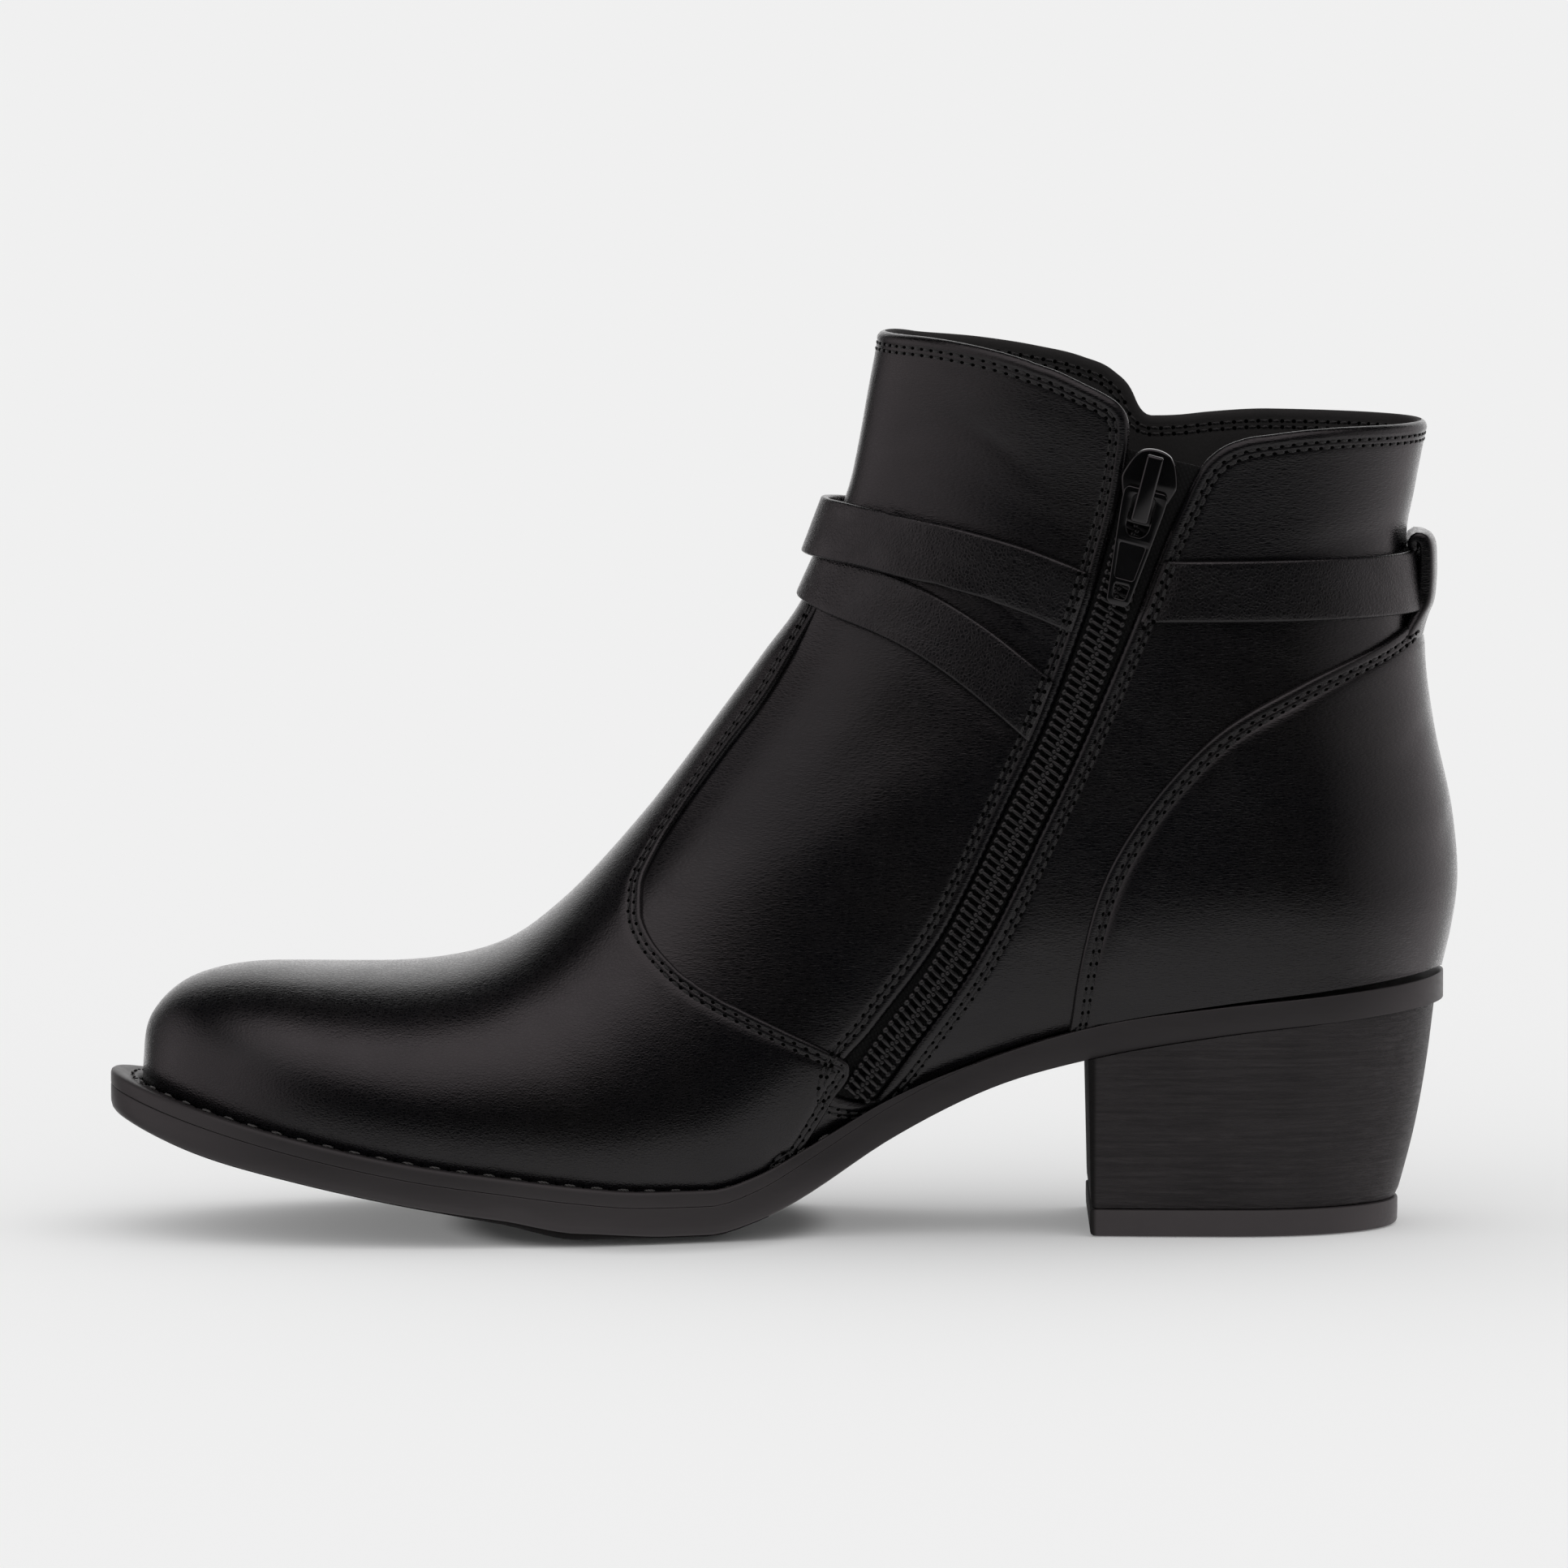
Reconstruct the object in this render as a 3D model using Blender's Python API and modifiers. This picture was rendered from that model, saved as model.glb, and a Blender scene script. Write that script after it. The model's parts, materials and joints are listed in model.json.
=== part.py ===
"""Heeled ankle boot for the right foot, with a side zip and two crossing straps.

The toe points to -X, the zip (inner) side to -Y, and the floor is z = 0. Tables are in millimetres.
"""

import math
from collections import namedtuple

import bmesh
import bpy
import numpy as np
from mathutils import Matrix, Vector
from mathutils.bvhtree import BVHTree

MM = 0.001
GAP = 0.3
INNER, OUTER = -1, 1

# Wall and layer thicknesses
WALL = 2.0
UPPER_LOW, OVERLAY_LOW = 0.65, 0.9
VAMP_THICK = 1.0
COUNTER_GAP, COUNTER_THICK = 0.45, 1.2
STRAP_THICK = 1.4
STRAP_WIDTH = 11.5
INSOLE_LOW, INSOLE_THICK = 0.5, 3.0
TAPE_LOW, TAPE_HIGH = -1.6, -0.9
COIL_LOW, COIL_HIGH = -0.6, 1.0
COIL_HALF = 2.7

# Sole line along the boot: height of the visible top edge, welt under it, and tread
SoleRow = namedtuple("SoleRow", "x top welt bottom")
SOLE_ROWS = [
    SoleRow(-126, 30.0, 3.0, 22.0),
    SoleRow(-110, 25.0, 3.0, 16.2),
    SoleRow(-90, 19.8, 3.0, 11.2),
    SoleRow(-70, 15.6, 3.0, 6.7),
    SoleRow(-52, 12.9, 3.0, 3.0),
    SoleRow(-38, 11.0, 3.0, 0.0),
    SoleRow(-26, 9.9, 3.0, 0.0),
    SoleRow(-14, 9.8, 3.0, 0.0),
    SoleRow(-5, 12.2, 2.8, 2.8),
    SoleRow(5, 17.5, 2.4, 8.5),
    SoleRow(20, 26.1, 1.4, 18.5),
    SoleRow(39, 33.9, 0.0, 28.2),
    SoleRow(57, 39.5, 0.0, 33.6),
    SoleRow(81, 43.6, 0.0, 38.0),
    SoleRow(103, 46.4, 0.0, 40.6),
    SoleRow(126, 49.0, 0.0, 42.8),
]
TREAD_FLAT = (-38.0, -14.0)

# How far the sole stands out from the upper's lower edge
ReachRow = namedtuple("ReachRow", "x reach")
REACH_ROWS = [
    ReachRow(-119, 7.2),
    ReachRow(-90, 5.6),
    ReachRow(-40, 5.0),
    ReachRow(-5, 4.0),
    ReachRow(25, 2.2),
    ReachRow(60, 1.8),
    ReachRow(126, 1.8),
]
WELT_END_X = 27.0
SOLE_STEPS = 46

# Back of the heel and shaft, and the radius that it turns with
BackRow = namedtuple("BackRow", "z x turn")
BACK_ROWS = [
    BackRow(49, 121.7, 31),
    BackRow(56, 123.3, 32),
    BackRow(66, 124.5, 34),
    BackRow(77, 123.6, 36),
    BackRow(93, 120.2, 38),
    BackRow(104, 118.6, 40),
    BackRow(112, 118.1, 41),
    BackRow(122, 116.9, 42),
    BackRow(129, 116.4, 43),
    BackRow(138, 117.9, 44),
    BackRow(151, 120.3, 46),
    BackRow(162, 121.8, 47),
]
HEEL_X = 121.7
TOE_X = -118.8
TOE_TURN_X = -58.0
TOE_POWER = 2.1
BACK_POWER = 2.1

# Sections of the last, from the toe tip round to the collar. Each runs from its low end, measured along
# the sole line ahead of the heel (minus) or up the back (plus), to its top on the front line.
Section = namedtuple("Section", "top_x top_z low_run half_in half_out axis_y widest power tuck")
SECTIONS = [
    Section(-118.8, 25.45, -240.5, 37.0, 38.0, -6.0, 0.30, 2.2, 0.04),
    Section(-118.6, 31.5, -239.6, 37.0, 38.0, -6.0, 0.30, 2.2, 0.04),
    Section(-117.0, 39.6, -237.2, 37.2, 38.2, -6.0, 0.30, 2.2, 0.04),
    Section(-109.4, 46.0, -229.8, 37.8, 38.6, -5.5, 0.30, 2.2, 0.04),
    Section(-95.0, 48.3, -216.7, 38.4, 39.2, -4.6, 0.29, 2.2, 0.04),
    Section(-75.0, 48.0, -198.7, 38.8, 40.8, -3.0, 0.28, 2.1, 0.05),
    Section(-55.2, 50.6, -177.7, 39.3, 42.1, -1.6, 0.27, 2.0, 0.06),
    Section(-41.5, 59.0, -157.7, 38.9, 42.9, -0.6, 0.25, 1.9, 0.08),
    Section(-25.3, 76.4, -135.7, 35.2, 40.6, -0.4, 0.24, 1.8, 0.15),
    Section(-10.5, 96.0, -107.7, 31.0, 34.5, -0.6, 0.26, 1.8, 0.24),
    Section(0.3, 111.2, -77.7, 30.4, 31.8, -0.6, 0.30, 1.8, 0.19),
    Section(6.3, 123.0, -49.7, 30.8, 31.2, -0.2, 0.32, 1.9, 0.10),
    Section(9.5, 131.0, -23.7, 31.2, 31.4, 0.0, 0.34, 1.9, 0.07),
    Section(11.5, 136.5, -8.0, 31.4, 31.4, 0.0, 0.36, 2.0, 0.06),
    Section(12.8, 141.0, 0.0, 31.4, 31.4, 0.0, 0.38, 2.0, 0.05),
    Section(14.3, 148.5, 22.0, 30.8, 30.8, 0.0, 0.41, 2.0, 0.02),
    Section(15.8, 157.0, 50.0, 29.6, 29.6, 0.0, 0.43, 2.0, 0.0),
    Section(17.1, 164.0, 80.0, 30.2, 30.2, 0.0, 0.45, 2.0, 0.0),
    Section(18.8, 174.0, 111.0, 31.6, 31.6, 0.0, 0.46, 2.0, 0.0),
]
HEEL_ROW = 14
FOOT_STEPS, SHAFT_STEPS, SIDE_STEPS = 28, 8, 12
FINE_FOOT, FINE_SHAFT, FINE_SIDE = 80, 36, 40

# Side views of edges on the upper
EdgePoint = namedtuple("EdgePoint", "x z")
COLLAR_IN = [
    EdgePoint(0, 168.0),
    EdgePoint(18, 167.8),
    EdgePoint(30, 167.0),
    EdgePoint(42, 164.6),
    EdgePoint(53.4, 160.6),
    EdgePoint(60, 157.6),
    EdgePoint(64, 154.6),
    EdgePoint(66.2, 150.6),
    EdgePoint(69, 148.6),
    EdgePoint(80, 149.6),
    EdgePoint(92, 150.4),
    EdgePoint(106, 151.0),
    EdgePoint(122, 150.8),
    EdgePoint(140, 150.8),
]
COLLAR_OUT = [
    EdgePoint(0, 168.0),
    EdgePoint(18, 167.6),
    EdgePoint(25, 166.4),
    EdgePoint(36, 164.9),
    EdgePoint(47.4, 162.8),
    EdgePoint(56, 160.6),
    EdgePoint(62, 157.8),
    EdgePoint(65.4, 154.2),
    EdgePoint(66.8, 150.4),
    EdgePoint(69, 148.6),
    EdgePoint(80, 150.1),
    EdgePoint(92, 150.8),
    EdgePoint(122, 150.8),
    EdgePoint(140, 150.8),
]
COLLAR_BLEND = 14.0
VAMP_EDGE = [
    EdgePoint(5.0, 114.0),
    EdgePoint(-3.3, 99.4),
    EdgePoint(-10.8, 89.5),
    EdgePoint(-18.8, 78.5),
    EdgePoint(-23.6, 71.0),
    EdgePoint(-26.2, 64.8),
    EdgePoint(-26.3, 60.6),
    EdgePoint(-24.8, 56.4),
    EdgePoint(-21.4, 52.2),
    EdgePoint(-17.0, 48.8),
    EdgePoint(-5.1, 42.8),
    EdgePoint(9.6, 36.6),
    EdgePoint(11.6, 34.8),
    EdgePoint(11.9, 32.2),
    EdgePoint(9.1, 26.4),
    EdgePoint(-2.5, 8.0),
    EdgePoint(-8.0, 0.0),
]
VAMP_TOP_Z = 113.4
COUNTER_EDGE = [
    EdgePoint(135, 112.8),
    EdgePoint(121, 112.6),
    EdgePoint(110.5, 107.6),
    EdgePoint(95.5, 100.0),
    EdgePoint(80.4, 90.8),
    EdgePoint(72.9, 84.0),
    EdgePoint(65.4, 75.0),
    EdgePoint(60.8, 66.7),
    EdgePoint(57.8, 57.5),
    EdgePoint(55.6, 47.6),
    EdgePoint(53.2, 30.0),
]

# Zip line on the inner side, with the slot's width to its front and rear
ZipRow = namedtuple("ZipRow", "x z front rear")
ZIP_ROWS = [
    ZipRow(13.6, 27.2, 4.3, 4.3),
    ZipRow(20.2, 36.6, 4.3, 4.3),
    ZipRow(31.2, 52.0, 4.3, 4.3),
    ZipRow(45.0, 79.8, 4.4, 4.4),
    ZipRow(52.0, 94.7, 4.7, 4.7),
    ZipRow(57.6, 108.9, 5.3, 5.3),
    ZipRow(60.8, 118.0, 5.8, 5.8),
    ZipRow(63.6, 127.0, 6.2, 6.2),
    ZipRow(66.0, 135.0, 6.7, 6.7),
    ZipRow(68.2, 143.3, 7.1, 8.8),
    ZipRow(69.8, 150.0, 7.7, 13.5),
    ZipRow(70.8, 155.0, 8.9, 20.0),
    ZipRow(71.6, 159.0, 14.0, 26.0),
]
TAPE_ROWS = (0.025, 9.4)
COIL_ROWS = (0.35, 8.0)
SLIDER_ROW = 8.76
SLOT_TO_STRAP = 1.4

# Straps, by angle round the shaft: 0 at the front, plus towards the inner side
StrapRow = namedtuple("StrapRow", "angle z lift")
STRAP_AXIS_X = 62.0
WRAP_ROWS = [
    StrapRow(70, 95.4, 0.3),
    StrapRow(56, 102.2, 0.3),
    StrapRow(30, 114.8, 0.3),
    StrapRow(12, 120.7, 0.3),
    StrapRow(0, 122.8, 0.3),
    StrapRow(-20, 124.0, 0.3),
    StrapRow(-45, 123.2, 0.3),
    StrapRow(-75, 121.4, 0.3),
    StrapRow(-115, 121.0, 0.3),
    StrapRow(-150, 121.0, 0.9),
    StrapRow(-180, 121.0, 1.2),
    StrapRow(-210, 121.0, 0.9),
    StrapRow(-262, 121.0, 0.3),
]
CROSS_ROWS = [
    StrapRow(79, 118.2, 0.3),
    StrapRow(64, 121.4, 0.3),
    StrapRow(50, 124.2, 1.2),
    StrapRow(33, 127.0, 2.1),
    StrapRow(15, 129.3, 2.7),
    StrapRow(0, 129.9, 2.9),
    StrapRow(-20, 128.0, 2.4),
    StrapRow(-40, 122.0, 2.0),
    StrapRow(-60, 113.2, 2.0),
    StrapRow(-74, 106.4, 2.0),
    StrapRow(-92, 98.4, 0.3),
]
WRAP_STEPS, CROSS_STEPS = 44, 30

# Back loop: its middle line in side view, and its width
LOOP_WIDTH = 15.0
LOOP_THICK = 1.5
LOOP_LINE = [
    EdgePoint(120.0, 113.0),
    EdgePoint(121.0, 115.4),
    EdgePoint(121.4, 121.0),
    EdgePoint(121.2, 126.8),
    EdgePoint(120.3, 128.9),
    EdgePoint(118.5, 129.4),
]

# Heel: plan of its top and of its floor end
HeelRow = namedtuple("HeelRow", "share back half")
HEEL_ROWS = [
    HeelRow(0.0, 114.9, 25.8),
    HeelRow(0.35, 118.2, 27.4),
    HeelRow(0.7, 120.5, 29.2),
    HeelRow(1.0, 121.9, 30.8),
]
BREAST_X = 57.2
BREAST_DRAFT = 0.6
HEEL_TURN = 30.0
LIFT_THICK = 4.7
HEEL_POINTS = 14

# Zip slider and pull tab, in the slider's own frame: across, along the zip, out from the upper
PLATE_LOW, PLATE_HIGH = 1.3, 2.5
PLATE_SIDE = [(0.0, 6.5), (2.8, 5.8), (4.6, 2.8), (5.3, 0.2), (4.7, -2.4), (3.9, -4.2), (3.8, -8.0)]
BRIDGE_HALF = 1.55
BRIDGE_TOP, BRIDGE_UNDER = 5.6, 4.5
BRIDGE_NOSE, BRIDGE_TAIL, BRIDGE_POST = 5.7, -7.2, 1.0
TAB_PIVOT = (-1.6, 3.4)
TAB_THICK = 1.2
TAB_SIDE = [(3.6, -1.0), (4.2, -1.8), (4.1, -4.5), (3.5, -10.5), (2.2, -22.6), (1.5, -23.4)]
TAB_EYE = [(2.15, -2.2), (2.15, -8.6), (1.2, -10.0)]


def smooth(knots, values):
    """Cubic curve through the values that doesn't overshoot them."""
    knots = np.asarray(knots, float)
    values = np.asarray(values, float)
    steps = np.diff(knots)
    slopes = np.diff(values) / steps
    tangents = np.empty(len(knots))
    tangents[0], tangents[-1] = slopes[0], slopes[-1]
    before, after = slopes[:-1], slopes[1:]
    middle = (before * steps[1:] + after * steps[:-1]) / (steps[1:] + steps[:-1])
    limit = 3 * np.minimum(abs(before), abs(after))
    middle = np.sign(middle) * np.minimum(abs(middle), limit)
    tangents[1:-1] = np.where(before * after > 0, middle, 0.0)

    def curve(at):
        at = np.clip(np.asarray(at, float), knots[0], knots[-1])
        i = np.clip(np.searchsorted(knots, at, side="right") - 1, 0, len(steps) - 1)
        h = steps[i]
        k = (at - knots[i]) / h
        rise = values[i] * (1 + 2 * k) * (1 - k) ** 2 + values[i + 1] * k * k * (3 - 2 * k)
        return rise + h * k * (1 - k) * (tangents[i] * (1 - k) - tangents[i + 1] * k)

    return curve


def columns(rows, along=None):
    """One smooth curve for each column of a table, by its row number or by one of its columns."""
    knots = range(len(rows)) if along is None else [getattr(row, along) for row in rows]
    return type(rows[0])(*(smooth(knots, column) for column in zip(*rows)))


SOLE = columns(SOLE_ROWS, "x")
REACH = columns(REACH_ROWS, "x").reach
BACK = columns(BACK_ROWS, "z")
LAST = columns(SECTIONS)
ZIP = columns(ZIP_ROWS)


def shelf(x):
    """Top of the outsole, which the upper, welt and insole stand on."""
    return SOLE.top(x) - SOLE.welt(x)


HEEL_Z = float(shelf(HEEL_X)) + UPPER_LOW


def low_end(run):
    ahead = HEEL_X + np.minimum(run, 0)
    up = HEEL_Z + np.maximum(run, 0)
    x = np.where(run < 0, ahead, BACK.x(up))
    z = np.where(run < 0, shelf(ahead) + UPPER_LOW, up)
    return x, z


def last_points(row, share, side):
    """Points of the upper's outer face: row along the sections, share of the way up one, and side."""
    low_x, low_z = low_end(LAST.low_run(row))
    x = low_x + (LAST.top_x(row) - low_x) * share
    z = low_z + (LAST.top_z(row) - low_z) * share
    half = LAST.half_in(row) if side == INNER else LAST.half_out(row)
    toe = np.clip((TOE_TURN_X - x) / (TOE_TURN_X - TOE_X), 0, 1)
    back = 1 - np.clip((BACK.x(np.maximum(z, HEEL_Z)) - x) / BACK.turn(z), 0, 1)
    widest = LAST.widest(row)
    above = np.clip((share - widest) / (1 - widest), 0, 1)
    below = np.clip(1 - share / widest, 0, 1)
    half = half * np.sqrt(1 - toe**TOE_POWER) * np.sqrt(1 - back**BACK_POWER)
    half = half * np.sqrt(1 - above ** LAST.power(row)) * (1 - LAST.tuck(row) * below**2)
    return np.stack([x, LAST.axis_y(row) + side * half, z], axis=-1)


def row_steps(foot, shaft):
    """Row numbers, closer together at the toe and at the heel, where the boot turns."""
    turns = (1 - np.cos(np.linspace(0, math.pi, foot + 1))) / 2 * HEEL_ROW
    rise = np.linspace(0, 1, shaft + 1)[1:] ** 1.15
    return np.concatenate([turns, HEEL_ROW + (len(SECTIONS) - 1 - HEEL_ROW) * rise])


def last_grid(foot, shaft, around):
    rows = row_steps(foot, shaft)[:, None]
    share = ((1 - np.cos(np.linspace(0, math.pi, around + 1))) / 2)[None, :]
    inner = last_points(rows, share, INNER)
    outer = last_points(rows, share, OUTER)
    return np.concatenate([inner, outer[:, -2::-1]], axis=1)


def loft(rings, closed=True, caps=True):
    """Mesh through rings of points, with its doubled points joined."""
    work = bmesh.new()
    grid = [[work.verts.new(Vector(point) * MM) for point in ring] for ring in rings]
    count = len(grid[0])
    for one, two in zip(grid, grid[1:]):
        for j in range(count if closed else count - 1):
            k = (j + 1) % count
            work.faces.new((one[j], one[k], two[k], two[j]))
    if closed and caps:
        work.faces.new(grid[0][::-1])
        work.faces.new(grid[-1])
    bmesh.ops.remove_doubles(work, verts=work.verts, dist=1e-6)
    return work


def outward(work):
    bmesh.ops.recalc_face_normals(work, faces=work.faces)
    if work.calc_volume(signed=True) < 0:
        bmesh.ops.reverse_faces(work, faces=work.faces)


def add_object(name, work, collection, material=None):
    mesh = bpy.data.meshes.new(name)
    work.to_mesh(mesh)
    work.free()
    thing = bpy.data.objects.new(name, mesh)
    collection.objects.link(thing)
    if material:
        mesh.materials.append(material)
    return thing


def add_material(name, colour, roughness, metallic=0.0):
    material = bpy.data.materials.new(name)
    material.use_nodes = True
    shader = material.node_tree.nodes["Principled BSDF"]
    shader.inputs["Base Color"].default_value = (*colour, 1.0)
    shader.inputs["Roughness"].default_value = roughness
    shader.inputs["Metallic"].default_value = metallic
    return material


def add_cutter(name, work):
    cutter = add_object(name, work, cutters)
    cutter.hide_render = True
    cutter.display_type = "WIRE"
    return cutter


def add_prism(name, outlines):
    """Cutter through side views, each given with its place across the boot."""
    work = loft([[(x, y, z) for x, z in outline] for y, outline in outlines])
    outward(work)
    return add_cutter(name, work)


def add_boolean(thing, cutter, operation):
    step = thing.modifiers.new(cutter.name, "BOOLEAN")
    step.object = cutter
    step.operation = operation
    step.solver = "EXACT"


def edge_curve(points, steps):
    """Smooth side-view line through a short table of points."""
    line = np.array(points, float)
    run = np.concatenate([[0], np.cumsum(np.linalg.norm(np.diff(line, axis=0), axis=1))])
    at = np.linspace(0, run[-1], steps + 1)
    return np.stack([smooth(run, line[:, 0])(at), smooth(run, line[:, 1])(at)], axis=1)


def last_surface(push, foot=FOOT_STEPS, shaft=SHAFT_STEPS, around=SIDE_STEPS):
    """Open surface of the last, moved out by a distance."""
    work = loft(last_grid(foot, shaft, around), closed=False)
    bmesh.ops.reverse_faces(work, faces=work.faces)
    work.normal_update()
    if push:
        moved = [vert.co + vert.normal * push * MM for vert in work.verts]
        for vert, place in zip(work.verts, moved):
            vert.co = place
    return work


def add_shell(name, push, thick, material):
    """Hollow piece on the last: thick is plus for a layer outside the surface, minus for inside."""
    thing = add_object(name, last_surface(push), boot, material)
    wall = thing.modifiers.new("wall", "SOLIDIFY")
    wall.thickness = abs(thick) * MM
    wall.offset = math.copysign(1, thick)
    return thing


def zip_edges(first, last, steps, trim=0.0):
    """Front edge, middle and rear edge of the zip in side view."""
    at = np.linspace(first, last, steps + 1)
    middle = np.stack([ZIP.x(at), ZIP.z(at)], axis=1)
    ahead = np.gradient(middle, axis=0)
    ahead /= np.linalg.norm(ahead, axis=1)[:, None]
    across = np.stack([ahead[:, 1], -ahead[:, 0]], axis=1)
    front = middle - across * (ZIP.front(at) - trim)[:, None]
    rear = middle + across * (ZIP.rear(at) - trim)[:, None]
    return front, middle, rear


def slot_views(widen):
    front, _, rear = zip_edges(0, len(ZIP_ROWS) - 1, 26, -widen)
    slot = [*front, *rear[::-1]]
    return [(-80, slot), (-6, slot)]


def build_upper():
    upper = add_shell("upper", 0.0, -WALL, leather)
    over = [(140, 200), (0, 200)]
    inner = [*edge_curve(COLLAR_IN, 40), *over]
    outer = [*edge_curve(COLLAR_OUT, 40), *over]
    views = [(-80, inner), (-COLLAR_BLEND, inner), (COLLAR_BLEND, outer), (80, outer)]
    add_boolean(upper, add_prism("collar_cut", views), "DIFFERENCE")
    add_boolean(upper, add_prism("zip_cut", slot_views(0.0)), "DIFFERENCE")


def above_sole(edge, end_x, steps):
    """A side-view edge down to just above the sole, then on along the sole to an end."""
    edge = edge[edge[:, 1] > shelf(edge[:, 0]) + OVERLAY_LOW]
    x = np.linspace(edge[-1][0], end_x, steps + 1)[1:]
    return [*edge, *np.stack([x, shelf(x) + OVERLAY_LOW], axis=1)]


def build_vamp():
    vamp = add_shell("vamp", GAP, VAMP_THICK, leather)
    edge = edge_curve(VAMP_EDGE, 44)
    shape = above_sole(edge[edge[:, 1] < VAMP_TOP_Z], -150, 24)
    top = [(-150, VAMP_TOP_Z), (edge[0][0], VAMP_TOP_Z)]
    view = [*shape, *top]
    add_boolean(vamp, add_prism("vamp_shape", [(-80, view), (80, view)]), "INTERSECT")


def build_counter():
    counter = add_shell("counter", COUNTER_GAP, COUNTER_THICK, leather)
    shape = above_sole(edge_curve(COUNTER_EDGE, 30), 140, 16)
    view = [*shape, (140, COUNTER_EDGE[0].z)]
    add_boolean(counter, add_prism("counter_shape", [(-80, view), (80, view)]), "INTERSECT")


def feather(steps):
    """Lower edge of the upper in plan: inner side and outer side, from toe to heel."""
    rows = (1 - np.cos(np.linspace(0, math.pi, steps + 1))) / 2 * HEEL_ROW
    inner = last_points(rows, np.zeros(steps + 1), INNER)[:, :2]
    outer = last_points(rows, np.zeros(steps + 1), OUTER)[:, :2]
    return inner, outer


def offset_feather(steps, reach):
    """The same edge moved out in plan by a distance that can vary along the boot."""
    inner, outer = feather(steps)
    loop = np.concatenate([inner, outer[-2:0:-1]])
    along = np.roll(loop, -1, axis=0) - np.roll(loop, 1, axis=0)
    along /= np.linalg.norm(along, axis=1)[:, None]
    out = np.stack([along[:, 1], -along[:, 0]], axis=1)
    out *= -np.sign(np.dot(out[0], (1.0, 0.0)))
    moved = loop + out * reach(loop[:, 0])[:, None]
    return moved[: steps + 1], np.concatenate([moved[:1], moved[: steps - 1 : -1]])


def sole_rings(steps, layers, across):
    """Rings across the sole. Each layer is a distance in from the sole's edge and a height at x."""
    sides = [offset_feather(steps, lambda x, inset=inset: REACH(x) - inset) for inset, _ in layers]
    rings = []
    for i in range(steps + 1):
        ends = [(side[0][i], side[1][i], height) for side, (_, height) in zip(sides, layers)]
        ring = []
        top_in, top_out, top = ends[0]
        for k in np.linspace(0, 1, across + 1):
            spot = top_in + (top_out - top_in) * k
            ring.append((*spot, top(spot[0])))
        ring += [(*side, height(side[0])) for _, side, height in ends[1:-1]]
        low_in, low_out, low = ends[-1]
        for k in np.linspace(1, 0, across + 1):
            spot = low_in + (low_out - low_in) * k
            ring.append((*spot, low(spot[0])))
        ring += [(*side, height(side[0])) for side, _, height in ends[-2:0:-1]]
        rings.append(ring)
    return rings


def build_outsole():
    layers = [
        (0.7, shelf),
        (0.3, lambda x: shelf(x) - 0.5),
        (0.0, lambda x: SOLE.bottom(x) + 1.5),
        (1.4, SOLE.bottom),
    ]
    work = loft(sole_rings(SOLE_STEPS, layers, 3), caps=False)
    outward(work)
    add_object("outsole", work, boot, sole_rubber)


def build_insole():
    inset = WALL + GAP + 0.4
    inner, outer = offset_feather(SOLE_STEPS, lambda x: np.full_like(x, -inset))
    rings = []
    for one, two in zip(inner, outer):
        across = [one, (one + two) / 2, two]
        ring = [(*spot, shelf(spot[0]) + INSOLE_LOW + INSOLE_THICK) for spot in across]
        ring += [(*spot, shelf(spot[0]) + INSOLE_LOW) for spot in across[::-1]]
        rings.append(ring)
    work = loft(rings, caps=False)
    outward(work)
    add_object("insole", work, boot, lining)


def build_welt():
    steps = SOLE_STEPS
    wall = GAP + VAMP_THICK + GAP
    low_in = offset_feather(steps, lambda x: np.full_like(x, wall + 0.1))
    high_in = offset_feather(steps, lambda x: np.full_like(x, wall + 0.4) + 0.4 * SOLE.welt(x))
    edge = offset_feather(steps, REACH)
    brim = offset_feather(steps, lambda x: REACH(x) - 0.6)
    count = int((edge[0][:, 0] < WELT_END_X).sum())
    rings = []
    for side in (0, 1):
        run = range(count - 1, -1, -1) if side == 0 else range(1, count)
        for i in run:
            a, b, c, d = low_in[side][i], high_in[side][i], brim[side][i], edge[side][i]
            rings.append(
                [
                    (*a, shelf(a[0]) + GAP),
                    (*b, SOLE.top(b[0])),
                    (*c, SOLE.top(c[0])),
                    (*d, SOLE.top(d[0]) - 0.5),
                    (*d, shelf(d[0]) + GAP),
                ]
            )
    work = loft(rings)
    outward(work)
    add_object("welt", work, boot, sole_rubber)


def heel_plan(share, grow=0.0):
    """Plan of the heel at a share of its height: the breast's inner corner round the back to its outer one."""
    table = columns(HEEL_ROWS, "share")
    back, half = float(table.back(share)) + grow, float(table.half(share)) + grow
    breast = BREAST_X - BREAST_DRAFT * share
    x = breast + (back - breast) * np.sin(np.linspace(0, math.pi / 2, HEEL_POINTS))
    turn = np.clip((x - (back - HEEL_TURN)) / HEEL_TURN, 0, 1)
    narrow = 1 - 0.05 * np.clip((back - HEEL_TURN - x) / (back - HEEL_TURN - breast), 0, 1) ** 2
    y = half * narrow * np.sqrt(1 - turn**2.1)
    inner = np.stack([x, -y], axis=1)
    return np.concatenate([inner, inner[-2::-1] * (1, -1)])


def build_heel():
    low = LIFT_THICK + GAP
    rings = []
    for share in (0.0, 0.35, 0.7, 1.0):
        plan = heel_plan(share)
        high = SOLE.bottom(plan[:, 0]) - GAP
        rings.append([(x, y, low + (top - low) * share) for (x, y), top in zip(plan, high)])
    work = loft(rings)
    bmesh.ops.triangulate(work, faces=[face for face in work.faces if len(face.verts) > 4])
    outward(work)
    add_object("heel_block", work, boot, heel_stack)


def build_top_lift():
    levels = [(0.0, -0.6), (0.6, 0.1), (LIFT_THICK, 0.2)]
    rings = [[(x, y, z) for x, y in heel_plan(0.0, grow)] for z, grow in levels]
    work = loft(rings)
    outward(work)
    add_object("top_lift", work, boot, lift_rubber)


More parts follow.
